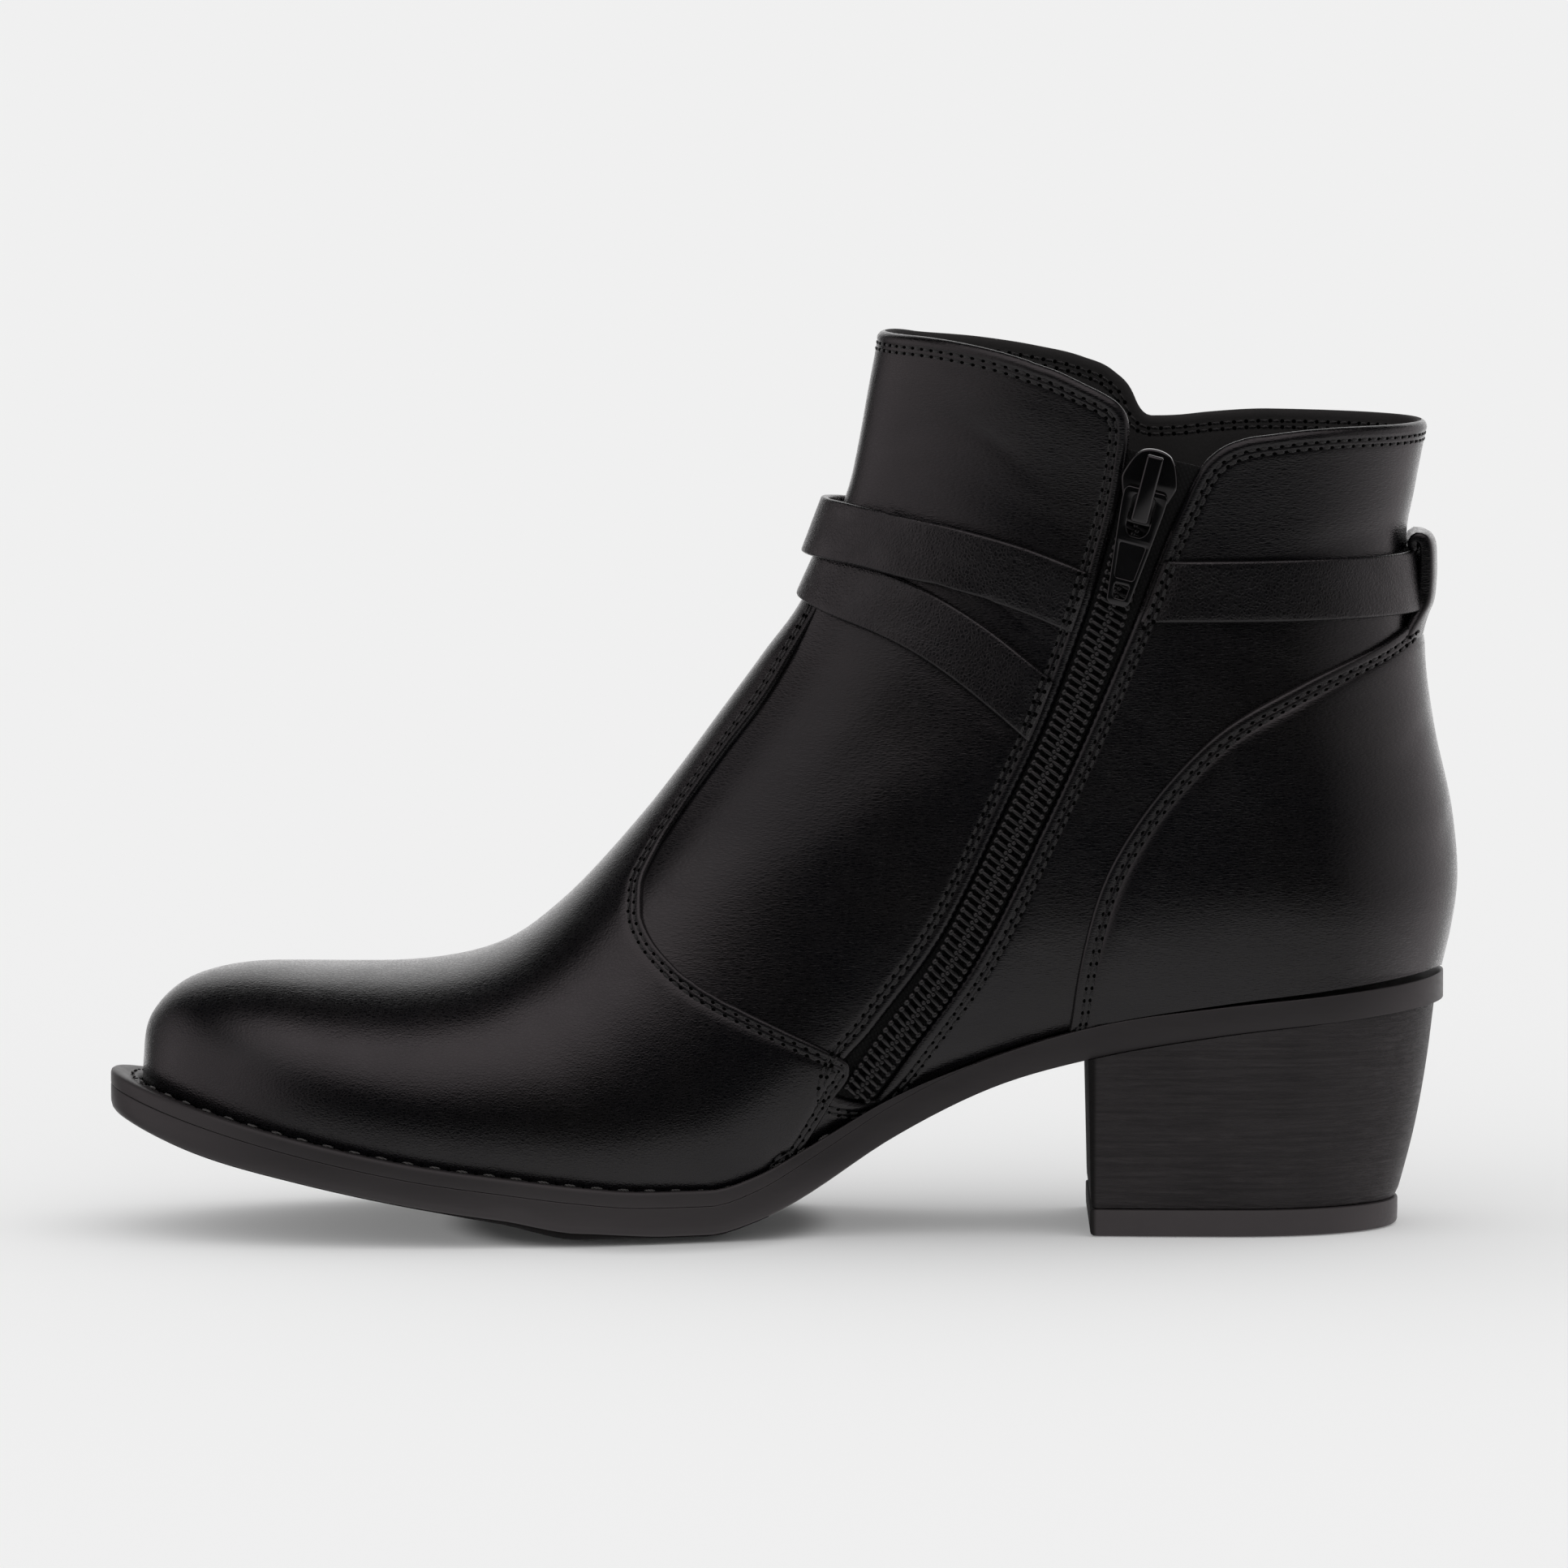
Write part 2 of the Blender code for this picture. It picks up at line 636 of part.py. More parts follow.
def strip(rows, low, high):
    """Solid over rows of points with normals, between two heights above them."""
    rings = []
    for row, under, over in zip(rows, low, high):
        ring = [place + normal * over for place, normal in row]
        ring += [place + normal * under for place, normal in row[::-1]]
        rings.append(ring)
    work = loft(rings)
    outward(work)
    return work


def side_spot(x, z):
    """Point and normal of the upper's inner side at a place in side view."""
    place, normal, _, _ = skin.ray_cast(Vector((x, -120, z)) * MM, Vector((0, 1, 0)))
    return place / MM, normal


def slot_spot(x, z):
    """The same, with the way straight out of the slot in place of the normal."""
    place, normal = side_spot(x, z)
    return place, Vector((0, 1 / normal.y, 0))


def zip_strip(first, last, steps, half, low, high):
    front, middle, rear = zip_edges(first, last, steps, GAP)
    rows = []
    for one, two, three in zip(front, middle, rear):
        if half:
            one = two + (one - two) * half / np.linalg.norm(one - two)
            three = two + (three - two) * half / np.linalg.norm(three - two)
        spots = (one, two, three)
        rows.append([slot_spot(*spot) for spot in spots])
    return strip(rows, [low] * len(rows), [high] * len(rows))


def build_zip():
    tape = zip_strip(*TAPE_ROWS, 24, None, TAPE_LOW, TAPE_HIGH)
    add_object("zip_tape", tape, boot, tape_cloth)
    coil = zip_strip(*COIL_ROWS, 20, COIL_HALF, COIL_LOW, COIL_HIGH)
    add_object("zip_coil", coil, boot, coil_plastic)


def strap_rows(table, steps):
    """Points across a strap with their normals, and its height above the upper, along its run."""
    path = columns(table, None)
    at = np.linspace(0, len(table) - 1, steps + 1)
    middle = []
    for angle, z in zip(np.radians(path.angle(at)), path.z(at)):
        start = Vector((STRAP_AXIS_X, 0, z)) * MM
        middle.append(skin.ray_cast(start, Vector((-math.cos(angle), -math.sin(angle), 0)))[0] / MM)
    rows = []
    for i, place in enumerate(middle):
        ahead = (middle[min(i + 1, steps)] - middle[max(i - 1, 0)]).normalized()
        normal = skin.find_nearest(place * MM)[1]
        across = normal.cross(ahead).normalized() * (STRAP_WIDTH / 2)
        row = []
        for share in (-1, 0, 1):
            spot, out, _, _ = skin.find_nearest((place + across * share) * MM)
            row.append((spot / MM, out))
        rows.append(row)
    return rows, path.lift(at)


def build_straps():
    ends = add_prism("strap_end_cut", slot_views(SLOT_TO_STRAP))
    for name, table, steps in (("wrap_strap", WRAP_ROWS, WRAP_STEPS), ("cross_strap", CROSS_ROWS, CROSS_STEPS)):
        rows, lift = strap_rows(table, steps)
        strap = add_object(name, strip(rows, lift, lift + STRAP_THICK), boot, leather)
        add_boolean(strap, ends, "DIFFERENCE")


def build_back_loop():
    line = edge_curve(LOOP_LINE, 14)
    ahead = np.gradient(line, axis=0)
    ahead /= np.linalg.norm(ahead, axis=1)[:, None]
    out = np.stack([ahead[:, 1], -ahead[:, 0]], axis=1) * LOOP_THICK / 2
    half = LOOP_WIDTH / 2
    rings = []
    for (x, z), (push_x, push_z) in zip(line, out):
        near, far = (x - push_x, z - push_z), (x + push_x, z + push_z)
        rings.append([(near[0], -half, near[1]), (near[0], half, near[1]), (far[0], half, far[1]), (far[0], -half, far[1])])
    work = loft(rings)
    outward(work)
    add_object("back_loop", work, boot, leather)


def slider_frame():
    """Matrix from the slider's frame to the boot's: across, along the zip, out from the upper."""
    at = np.array([SLIDER_ROW - 0.2, SLIDER_ROW, SLIDER_ROW + 0.2])
    spots = [side_spot(x, z) for x, z in zip(ZIP.x(at), ZIP.z(at))]
    place, out = spots[1]
    along = (spots[2][0] - spots[0][0]).normalized()
    out = (out - along * out.dot(along)).normalized()
    across = along.cross(out)
    frame = Matrix((across, along, out)).transposed().to_4x4()
    frame.translation = place * MM
    return frame


def both_sides(outline):
    """Closed outline from one side of it, listed from its top end to its low end."""
    mirrored = [(-x, y) for x, y in reversed(outline) if x > 0]
    return [*outline, *mirrored]


def slab(outline, low, high):
    """Flat piece in the slider's frame."""
    work = loft([[(x, y, z) for x, y in outline] for z in (low, high)])
    outward(work)
    return work


def build_slider():
    frame = slider_frame()
    plate = add_object("zip_slider", slab(both_sides(PLATE_SIDE), PLATE_LOW, PLATE_HIGH), boot, black_metal)
    plate.matrix_world = frame
    low = PLATE_HIGH - 0.4
    side = [
        (BRIDGE_TAIL, low),
        (BRIDGE_TAIL, BRIDGE_TOP - 0.6),
        (BRIDGE_TAIL + 0.6, BRIDGE_TOP),
        (BRIDGE_NOSE - 1.2, BRIDGE_TOP),
        (BRIDGE_NOSE, BRIDGE_TOP - 1.0),
        (BRIDGE_NOSE, low),
        (BRIDGE_NOSE - BRIDGE_POST, low),
        (BRIDGE_NOSE - BRIDGE_POST, BRIDGE_UNDER - 0.4),
        (BRIDGE_NOSE - BRIDGE_POST - 0.6, BRIDGE_UNDER),
        (BRIDGE_TAIL + BRIDGE_POST + 0.4, BRIDGE_UNDER),
        (BRIDGE_TAIL + BRIDGE_POST, BRIDGE_UNDER - 0.4),
        (BRIDGE_TAIL + BRIDGE_POST, low),
    ]
    work = loft([[(x, y, z) for y, z in side] for x in (-BRIDGE_HALF, BRIDGE_HALF)])
    outward(work)
    bridge = add_cutter("slider_bridge", work)
    bridge.matrix_world = frame
    add_boolean(plate, bridge, "UNION")


def build_pull_tab():
    frame = slider_frame()
    along, out = TAB_PIVOT
    half = TAB_THICK / 2
    pivot = frame @ Matrix.Translation((0, along * MM, out * MM))
    shift = [(x, y - along) for x, y in TAB_SIDE]
    tab = add_object("zip_pull_tab", slab(both_sides(shift), -half, half), boot, black_metal)
    tab.matrix_world = pivot
    hole = [(x, y - along) for x, y in TAB_EYE]
    eye = add_cutter("tab_eye_cut", slab(both_sides(hole), -2 * TAB_THICK, 2 * TAB_THICK))
    eye.matrix_world = pivot
    add_boolean(tab, eye, "DIFFERENCE")
    bevel = tab.modifiers.new("rounded_edges", "BEVEL")
    bevel.width = 0.25 * MM
    bevel.segments = 1
    bevel.limit_method = "ANGLE"


for thing in list(bpy.data.objects):
    bpy.data.objects.remove(thing)
boot = bpy.data.collections.new("heeled_ankle_boot")
cutters = bpy.data.collections.new("cutters")
bpy.context.scene.collection.children.link(boot)
bpy.context.scene.collection.children.link(cutters)

leather = add_material("black_leather", (0.014, 0.014, 0.015), 0.42)
lining = add_material("lining_leather", (0.05, 0.045, 0.042), 0.7)
sole_rubber = add_material("sole_rubber", (0.016, 0.016, 0.017), 0.5)
heel_stack = add_material("stacked_heel", (0.018, 0.016, 0.015), 0.45)
lift_rubber = add_material("lift_rubber", (0.02, 0.02, 0.02), 0.65)
tape_cloth = add_material("zip_tape_cloth", (0.012, 0.012, 0.013), 0.85)
coil_plastic = add_material("zip_coil_plastic", (0.015, 0.015, 0.016), 0.4)
black_metal = add_material("black_painted_metal", (0.012, 0.012, 0.013), 0.25, 0.2)

fine = last_surface(0.0, FINE_FOOT, FINE_SHAFT, FINE_SIDE)
skin = BVHTree.FromBMesh(fine)
fine.free()

build_upper()
build_vamp()
build_counter()
build_outsole()
build_insole()
build_welt()
build_heel()
build_top_lift()
build_zip()
build_straps()
build_back_loop()
build_slider()
build_pull_tab()
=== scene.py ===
import json
import math

import bmesh
import bpy
import numpy as np
from mathutils import Matrix, Vector
from mathutils.bvhtree import BVHTree
from mathutils.geometry import barycentric_transform, delaunay_2d_cdt, tessellate_polygon
from mathutils.kdtree import KDTree


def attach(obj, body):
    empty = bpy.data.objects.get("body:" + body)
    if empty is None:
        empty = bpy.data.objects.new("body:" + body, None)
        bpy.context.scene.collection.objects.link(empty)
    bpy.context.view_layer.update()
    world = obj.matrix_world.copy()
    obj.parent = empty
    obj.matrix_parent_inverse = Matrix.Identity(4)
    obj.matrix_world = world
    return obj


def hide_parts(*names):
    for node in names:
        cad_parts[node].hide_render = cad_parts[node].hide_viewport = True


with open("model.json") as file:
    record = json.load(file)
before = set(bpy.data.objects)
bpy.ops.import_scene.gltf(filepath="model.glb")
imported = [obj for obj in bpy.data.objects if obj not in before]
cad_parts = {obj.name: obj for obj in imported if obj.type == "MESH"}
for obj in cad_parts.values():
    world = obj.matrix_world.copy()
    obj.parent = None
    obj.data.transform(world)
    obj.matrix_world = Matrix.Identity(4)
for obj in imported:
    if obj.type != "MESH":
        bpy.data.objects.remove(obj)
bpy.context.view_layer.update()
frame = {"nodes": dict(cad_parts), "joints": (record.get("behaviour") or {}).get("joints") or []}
mm = 0.001
print("frame loaded:", len(frame["nodes"]), "nodes")

# the last that the leather lies on, in millimetres, toe at -x and zip side at -y
last = {
    "sole": [  # x, top edge, welt under it, tread
        (-126, 30.0, 3.0, 22.0), (-110, 25.0, 3.0, 16.2), (-90, 19.8, 3.0, 11.2), (-70, 15.6, 3.0, 6.7),
        (-52, 12.9, 3.0, 3.0), (-38, 11.0, 3.0, 0.0), (-26, 9.9, 3.0, 0.0), (-14, 9.8, 3.0, 0.0),
        (-5, 12.2, 2.8, 2.8), (5, 17.5, 2.4, 8.5), (20, 26.1, 1.4, 18.5), (39, 33.9, 0.0, 28.2),
        (57, 39.5, 0.0, 33.6), (81, 43.6, 0.0, 38.0), (103, 46.4, 0.0, 40.6), (126, 49.0, 0.0, 42.8),
    ],
    "reach": [(-119, 7.2), (-90, 5.6), (-40, 5.0), (-5, 4.0), (25, 2.2), (60, 1.8), (126, 1.8)],
    "back": [  # z, x, turn
        (49, 121.7, 31), (56, 123.3, 32), (66, 124.5, 34), (77, 123.6, 36), (93, 120.2, 38),
        (104, 118.6, 40), (112, 118.1, 41), (122, 116.9, 42), (129, 116.4, 43), (138, 117.9, 44),
        (151, 120.3, 46), (162, 121.8, 47),
    ],
    "sections": [  # top x, top z, low end, inner half, outer half, axis, widest, power, tuck
        (-118.8, 25.45, -240.5, 37.0, 38.0, -6.0, 0.30, 2.2, 0.04),
        (-118.6, 31.5, -239.6, 37.0, 38.0, -6.0, 0.30, 2.2, 0.04),
        (-117.0, 39.6, -237.2, 37.2, 38.2, -6.0, 0.30, 2.2, 0.04),
        (-109.4, 46.0, -229.8, 37.8, 38.6, -5.5, 0.30, 2.2, 0.04),
        (-95.0, 48.3, -216.7, 38.4, 39.2, -4.6, 0.29, 2.2, 0.04),
        (-75.0, 48.0, -198.7, 38.8, 40.8, -3.0, 0.28, 2.1, 0.05),
        (-55.2, 50.6, -177.7, 39.3, 42.1, -1.6, 0.27, 2.0, 0.06),
        (-41.5, 59.0, -157.7, 38.9, 42.9, -0.6, 0.25, 1.9, 0.08),
        (-25.3, 76.4, -135.7, 35.2, 40.6, -0.4, 0.24, 1.8, 0.15),
        (-10.5, 96.0, -107.7, 31.0, 34.5, -0.6, 0.26, 1.8, 0.24),
        (0.3, 111.2, -77.7, 30.4, 31.8, -0.6, 0.30, 1.8, 0.19),
        (6.3, 123.0, -49.7, 30.8, 31.2, -0.2, 0.32, 1.9, 0.10),
        (9.5, 131.0, -23.7, 31.2, 31.4, 0.0, 0.34, 1.9, 0.07),
        (11.5, 136.5, -8.0, 31.4, 31.4, 0.0, 0.36, 2.0, 0.06),
        (12.8, 141.0, 0.0, 31.4, 31.4, 0.0, 0.38, 2.0, 0.05),
        (14.3, 148.5, 22.0, 30.8, 30.8, 0.0, 0.41, 2.0, 0.02),
        (15.8, 157.0, 50.0, 29.6, 29.6, 0.0, 0.43, 2.0, 0.0),
        (17.1, 164.0, 80.0, 30.2, 30.2, 0.0, 0.45, 2.0, 0.0),
        (18.8, 174.0, 111.0, 31.6, 31.6, 0.0, 0.46, 2.0, 0.0),
    ],
    "heelX": 121.7, "heelRow": 14, "toeX": -118.8, "toeTurnX": -58.0, "turnPower": 2.1, "rise": 0.65,
    "farY": 130.0, "nearY": 30.0,  # where the rays of a side view start, and a place close to either side
    "foot": 150, "shaft": 84, "around": 60,
}


def smoothCurve(knots, values):
    # cubic through the values that never overshoots them
    knots, values = np.asarray(knots, float), np.asarray(values, float)
    steps = np.diff(knots)
    slopes = np.diff(values) / steps
    before, after = slopes[:-1], slopes[1:]
    middle = (before * steps[1:] + after * steps[:-1]) / (steps[1:] + steps[:-1])
    middle = np.sign(middle) * np.minimum(abs(middle), 3 * np.minimum(abs(before), abs(after)))
    tangents = np.concatenate([slopes[:1], np.where(before * after > 0, middle, 0.0), slopes[-1:]])

    def curve(at):
        at = np.clip(np.asarray(at, float), knots[0], knots[-1])
        i = np.clip(np.searchsorted(knots, at, side="right") - 1, 0, len(steps) - 1)
        k = (at - knots[i]) / steps[i]
        rise = values[i] * (1 + 2 * k) * (1 - k) ** 2 + values[i + 1] * k * k * (3 - 2 * k)
        return rise + steps[i] * k * (1 - k) * (tangents[i] * (1 - k) - tangents[i + 1] * k)

    return curve


def ramp(x, low, high):
    share = np.clip((x - low) / (high - low), 0, 1)
    return share * share * (3 - 2 * share)


def tableCurves(rows, byFirst=False):
    columns = list(zip(*rows))
    knots = columns[0] if byFirst else range(len(rows))
    return [smoothCurve(knots, column) for column in columns[int(byFirst):]]


soleTop, soleWelt, soleBottom = tableCurves(last["sole"], True)
soleReach, = tableCurves(last["reach"], True)
backX, backTurn = tableCurves(last["back"], True)
topX, topZ, lowRun, halfIn, halfOut, axisY, widest, power, tuck = tableCurves(last["sections"])
lastRow = len(last["sections"]) - 1


def shelfAt(x):
    return soleTop(x) - soleWelt(x)


heelZ = float(shelfAt(last["heelX"])) + last["rise"]


def lastAt(row, turn):
    # row along the sections; turn 0 to 1 up the inner side, 1 to 2 down the outer side
    row, turn = np.broadcast_arrays(np.asarray(row, float), np.asarray(turn, float))
    inner = turn <= 1
    share = np.where(inner, turn, 2 - turn)
    run = lowRun(row)
    ahead, up = last["heelX"] + np.minimum(run, 0), heelZ + np.maximum(run, 0)
    lowX = np.where(run < 0, ahead, backX(up))
    lowZ = np.where(run < 0, shelfAt(ahead) + last["rise"], up)
    x = lowX + (topX(row) - lowX) * share
    z = lowZ + (topZ(row) - lowZ) * share
    toe = np.clip((last["toeTurnX"] - x) / (last["toeTurnX"] - last["toeX"]), 0, 1)
    back = 1 - np.clip((backX(np.maximum(z, heelZ)) - x) / backTurn(z), 0, 1)
    wide = widest(row)
    above = np.clip((share - wide) / (1 - wide), 0, 1)
    below = np.clip(1 - share / wide, 0, 1)
    half = np.where(inner, halfIn(row), halfOut(row))
    half = half * np.sqrt(1 - toe ** last["turnPower"]) * np.sqrt(1 - back ** last["turnPower"])
    half = half * np.sqrt(1 - above ** power(row)) * (1 - tuck(row) * below**2)
    return np.stack([x, axisY(row) + np.where(inner, -half, half), z], axis=-1)


def unit(vectors):
    return vectors / np.maximum(np.linalg.norm(vectors, axis=-1, keepdims=True), 1e-9)


def lastNormal(row, turn):
    row, turn = np.broadcast_arrays(np.clip(row, 0.04, lastRow - 0.01), np.asarray(turn, float))
    step = 2e-3

    def oneSide(turn):
        along = lastAt(row + step, turn) - lastAt(row - step, turn)
        around = lastAt(row, np.minimum(turn + step, 2)) - lastAt(row, np.maximum(turn - step, 0))
        return unit(np.cross(along, around))

    out = oneSide(turn)
    back = (row > last["heelRow"]) & (np.abs(turn - 1) > 1 - 1e-6)  # the two sides meet there
    return np.where(back[..., None], unit(out + oneSide(2 - turn)), out)


def easeSteps(count):
    # 0 to 1 in steps that are small near both ends
    return (1 - np.cos(np.linspace(0, math.pi, count + 1))) / 2


def gridSteps(size):
    # rows from the toe to the heel and up the shaft, and turns over the last
    rise = np.linspace(0, 1, size["shaft"] + 1)[1:]
    foot, shaft = easeSteps(size["foot"]) * last["heelRow"], (lastRow - last["heelRow"]) * rise
    share = easeSteps(size["around"])
    return np.concatenate([foot, last["heelRow"] + shaft]), np.concatenate([share, 2 - share[-2::-1]])


def gridFaces(rows, columns, loop=False):
    faces = []
    for i in range(rows - 1):
        for j in range(columns if loop else columns - 1):
            k = (j + 1) % columns
            faces.append((i * columns + j, (i + 1) * columns + j, (i + 1) * columns + k, i * columns + k))
    return faces


# net over the last, to find a place on it from a point or a ray
netRows, netTurns = gridSteps(last)
netPoints = [Vector(p) for p in lastAt(netRows[:, None], netTurns[None, :]).reshape(-1, 3)]
netSpots = [Vector((r, t, 0)) for r in netRows for t in netTurns]
netFaces = []
for a, b, c, d in gridFaces(len(netRows), len(netTurns)):
    netFaces += [(a, b, c), (a, c, d)]
lastTree = BVHTree.FromPolygons(netPoints, netFaces, all_triangles=True)


def spotOf(place, index):
    i, j, k = netFaces[index]
    spot = barycentric_transform(
        place, netPoints[i], netPoints[j], netPoints[k], netSpots[i], netSpots[j], netSpots[k]
    )
    return spot.x, min(max(spot.y, 0.0), 2.0)


def nearSpot(point):
    place, _, index, _ = lastTree.find_nearest(Vector(point))
    return spotOf(place, index)


def castSpot(start, way):
    place, _, index, _ = lastTree.ray_cast(Vector(start), Vector(way))
    return None if index is None else spotOf(place, index)


def sideSpot(x, z, side):
    spot = castSpot((x, last["farY"] * side, z), (0, -side, 0))
    return spot or nearSpot((x, last["nearY"] * side, z))  # a ray just past the edge meets nothing


def ringSpot(axisX, angle, z):
    return castSpot((axisX, 0, z), (math.cos(angle), math.sin(angle), 0))


def runLength(points):
    return np.concatenate([[0], np.cumsum(np.linalg.norm(np.diff(points, axis=0), axis=1))])


def evenLine(points, step):
    # the same line with points at even steps
    points = np.asarray(points, float)
    run = runLength(points)
    keep = np.concatenate([[True], np.diff(run) > 1e-6])
    at = np.linspace(0, run[-1], max(2, int(round(run[-1] / step)) + 1))
    return np.stack([smoothCurve(run[keep], column[keep])(at) for column in points.T], axis=1)


print("last ready:", len(netFaces), "net faces")


def addPiece(name, data):
    piece = bpy.data.objects.new(name, data)
    bpy.context.scene.collection.objects.link(piece)
    return piece


class Patch:
    # points and faces of a piece while it is put together
    def __init__(self):
        self.points, self.faces, self.marks, self.count = [], [], [], 0

    def add(self, points, faces, mark=0):
        points = np.asarray(points, float).reshape(-1, 3)
        self.points.append(points)
        self.faces += [tuple(i + self.count for i in face) for face in faces]
        self.marks += [mark] * len(faces)
        self.count += len(points)

    def addGrid(self, grid, mark=0, loop=False, capped=False):
        grid = np.asarray(grid, float)
        rows, columns = grid.shape[:2]
        faces = gridFaces(rows, columns, loop)
        if capped:
            faces += [tuple(range(columns)), tuple(range(rows * columns - 1, (rows - 1) * columns - 1, -1))]
        self.add(grid, faces, mark)

    def build(self, name, finishes, closed=False, merge=1e-7):
        mesh = bpy.data.meshes.new(name)
        mesh.from_pydata((np.concatenate(self.points) * mm).tolist(), [], self.faces)
        for finish in finishes:
            mesh.materials.append(finish)
        mesh.polygons.foreach_set("material_index", self.marks)
        work = bmesh.new()
        work.from_mesh(mesh)
        bmesh.ops.remove_doubles(work, verts=work.verts, dist=merge)
        bmesh.ops.dissolve_degenerate(work, edges=work.edges, dist=1e-8)
        bmesh.ops.delete(work, geom=[v for v in work.verts if not v.link_faces], context="VERTS")
        if closed:
            bmesh.ops.recalc_face_normals(work, faces=work.faces)
            if work.calc_volume(signed=True) < 0:
                bmesh.ops.reverse_faces(work, faces=work.faces)
        work.to_mesh(mesh)
        work.free()
        mesh.shade_smooth()
        return addPiece(name, mesh)


def dress(piece, nodes=(), body="boot"):
    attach(piece, body)
    if nodes:
        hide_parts(*nodes)
    return piece


class Flow:
    # a shader socket that takes part in plain sums
    def __init__(self, finish, socket):
        self.finish, self.socket = finish, socket

    def sum(self, operation, *terms):
        return self.finish.node("ShaderNodeMath", {"operation": operation}, dict(enumerate(terms)))

    def __add__(self, other):
        return self.sum("ADD", self, other)

    def __sub__(self, other):
        return self.sum("SUBTRACT", self, other)

    def __rsub__(self, other):
        return self.sum("SUBTRACT", other, self)

    def __mul__(self, other):
        return self.sum("MULTIPLY", self, other)

    def __truediv__(self, other):
        return self.sum("DIVIDE", self, other)

    __radd__, __rmul__ = __add__, __mul__

    def atLeast(self, low):
        return self.sum("MAXIMUM", self, low)

    def between(self, low, high, start=0.0, end=1.0):
        return self.finish.node(
            "ShaderNodeMapRange", {"interpolation_type": "SMOOTHSTEP"},
            {"Value": self, "From Min": low, "From Max": high, "To Min": start, "To Max": end},
        )


class Finish:
    # the nodes of one procedural material, or of the room's light
    def __init__(self, name, room=False, **constants):
        self.data = (bpy.data.worlds if room else bpy.data.materials).new(name)
        self.data.use_nodes = True
        self.tree = self.data.node_tree
        self.shader = self.tree.nodes["Background" if room else "Principled BSDF"]
        for socket, value in constants.items():
            self.shader.inputs[socket.replace("_", " ")].default_value = value

    def node(self, kind, settings=None, inputs=None, out=0):
        made = self.tree.nodes.new(kind)
        for key, value in (settings or {}).items():
            setattr(made, key, value)
        for key, value in (inputs or {}).items():
            if isinstance(value, Flow):
                self.tree.links.new(value.socket, made.inputs[key])
            else:
                made.inputs[key].default_value = value
        return Flow(self, made.outputs[out])

    def place(self, scale=(1, 1, 1), turn=(0, 0, 0)):
        spot = self.node("ShaderNodeTexCoord", out="Object")
        return self.node("ShaderNodeMapping", None, {"Vector": spot, "Scale": scale, "Rotation": turn})

    def noise(self, where, scale, detail=2.0, rough=0.5, warp=0.0):
        return self.node(
            "ShaderNodeTexNoise", None,
            {"Vector": where, "Scale": scale, "Detail": detail, "Roughness": rough, "Distortion": warp},
        )

    def cells(self, where, scale, feature="F1"):
        return self.node("ShaderNodeTexVoronoi", {"feature": feature}, {"Vector": where, "Scale": scale})

    def wave(self, where, scale, bands):
        return self.node("ShaderNodeTexWave", {"bands_direction": bands}, {"Vector": where, "Scale": scale})

    def axis(self, name):
        return self.node("ShaderNodeSeparateXYZ", None, {0: self.place()}, out=name)

    def blend(self, factor, one, two):
        one, two = (paint if isinstance(paint, Flow) else (*paint, 1.0) for paint in (one, two))
        return self.node("ShaderNodeMix", {"data_type": "RGBA"}, {"Factor": factor, 6: one, 7: two}, out=2)

    def feed(self, socket, flow):
        self.tree.links.new(flow.socket, self.shader.inputs[socket])

    def bump(self, height, depth):
        relief = {"Height": height, "Distance": depth, "Strength": 1.0}
        self.feed("Normal", self.node("ShaderNodeBump", None, relief))


leatherLook = {
    "dark": (0.0010, 0.0010, 0.0018), "warm": (0.0020, 0.0017, 0.0019), "rough": 0.19, "grain": 0.000016,
    "cell": 1500.0, "coat": 0.1, "coatRough": 0.16, "mottle": 60.0,
}
strapLook = dict(leatherLook, rough=0.22, grain=0.00003, coat=0.2, coatRough=0.2, mottle=150.0)


def makeLeather(name, look, stretch):
    finish = Finish(name, Coat_Roughness=look["coatRough"], Specular_IOR_Level=0.5)
    where = finish.place()
    drawn = finish.place(stretch)
    cloud = finish.noise(where, 34.0, 3.0)
    mottle = finish.noise(drawn, look["mottle"], 3.0, 0.6)
    wrinkle = finish.noise(drawn, look["cell"] * 0.8, 3.0, 0.55, 0.8)
    pebble = finish.cells(drawn, look["cell"], "DISTANCE_TO_EDGE").between(0.0, 0.3)
    soft = finish.noise(where, 210.0, 2.0)
    height = wrinkle * 3.0 + pebble * 0.8 + soft
    finish.feed("Base Color", finish.blend(cloud.between(0.35, 0.7), look["dark"], look["warm"]))
    finish.feed("Roughness", (1 - pebble) * 0.12 + soft * 0.1 + (look["rough"] - 0.05))
    finish.feed("Coat Weight", mottle.between(0.34, 0.66, 0.0, look["coat"]))
    finish.bump(height, look["grain"])
    return finish.data


vampLeather = makeLeather("vampLeather", leatherLook, (0.8, 0.8, 1.4))
quarterLeather = makeLeather("quarterLeather", leatherLook, (0.45, 0.45, 1.6))
strapLeather = makeLeather("strapLeather", strapLook, (1.0, 1.0, 1.0))

liningLook = {
    "specular": 0.3, "dark": (0.011, 0.0105, 0.0105), "pale": (0.024, 0.0225, 0.022), "cloud": 60.0,
    "nap": 1800.0, "rough": 0.6, "uneven": 0.2, "waves": 4.0, "depth": 0.00006,
}
# the tread is darker than the sole's sides: painted shade on the underside, with a matt finish
treadShadeLook = {
    "specular": 0.02, "dark": (0.006, 0.0055, 0.0056), "pale": (0.012, 0.011, 0.011), "cloud": 90.0,
    "nap": 1500.0, "rough": 0.88, "uneven": 0.1, "waves": 2.0, "depth": 0.00004,
}


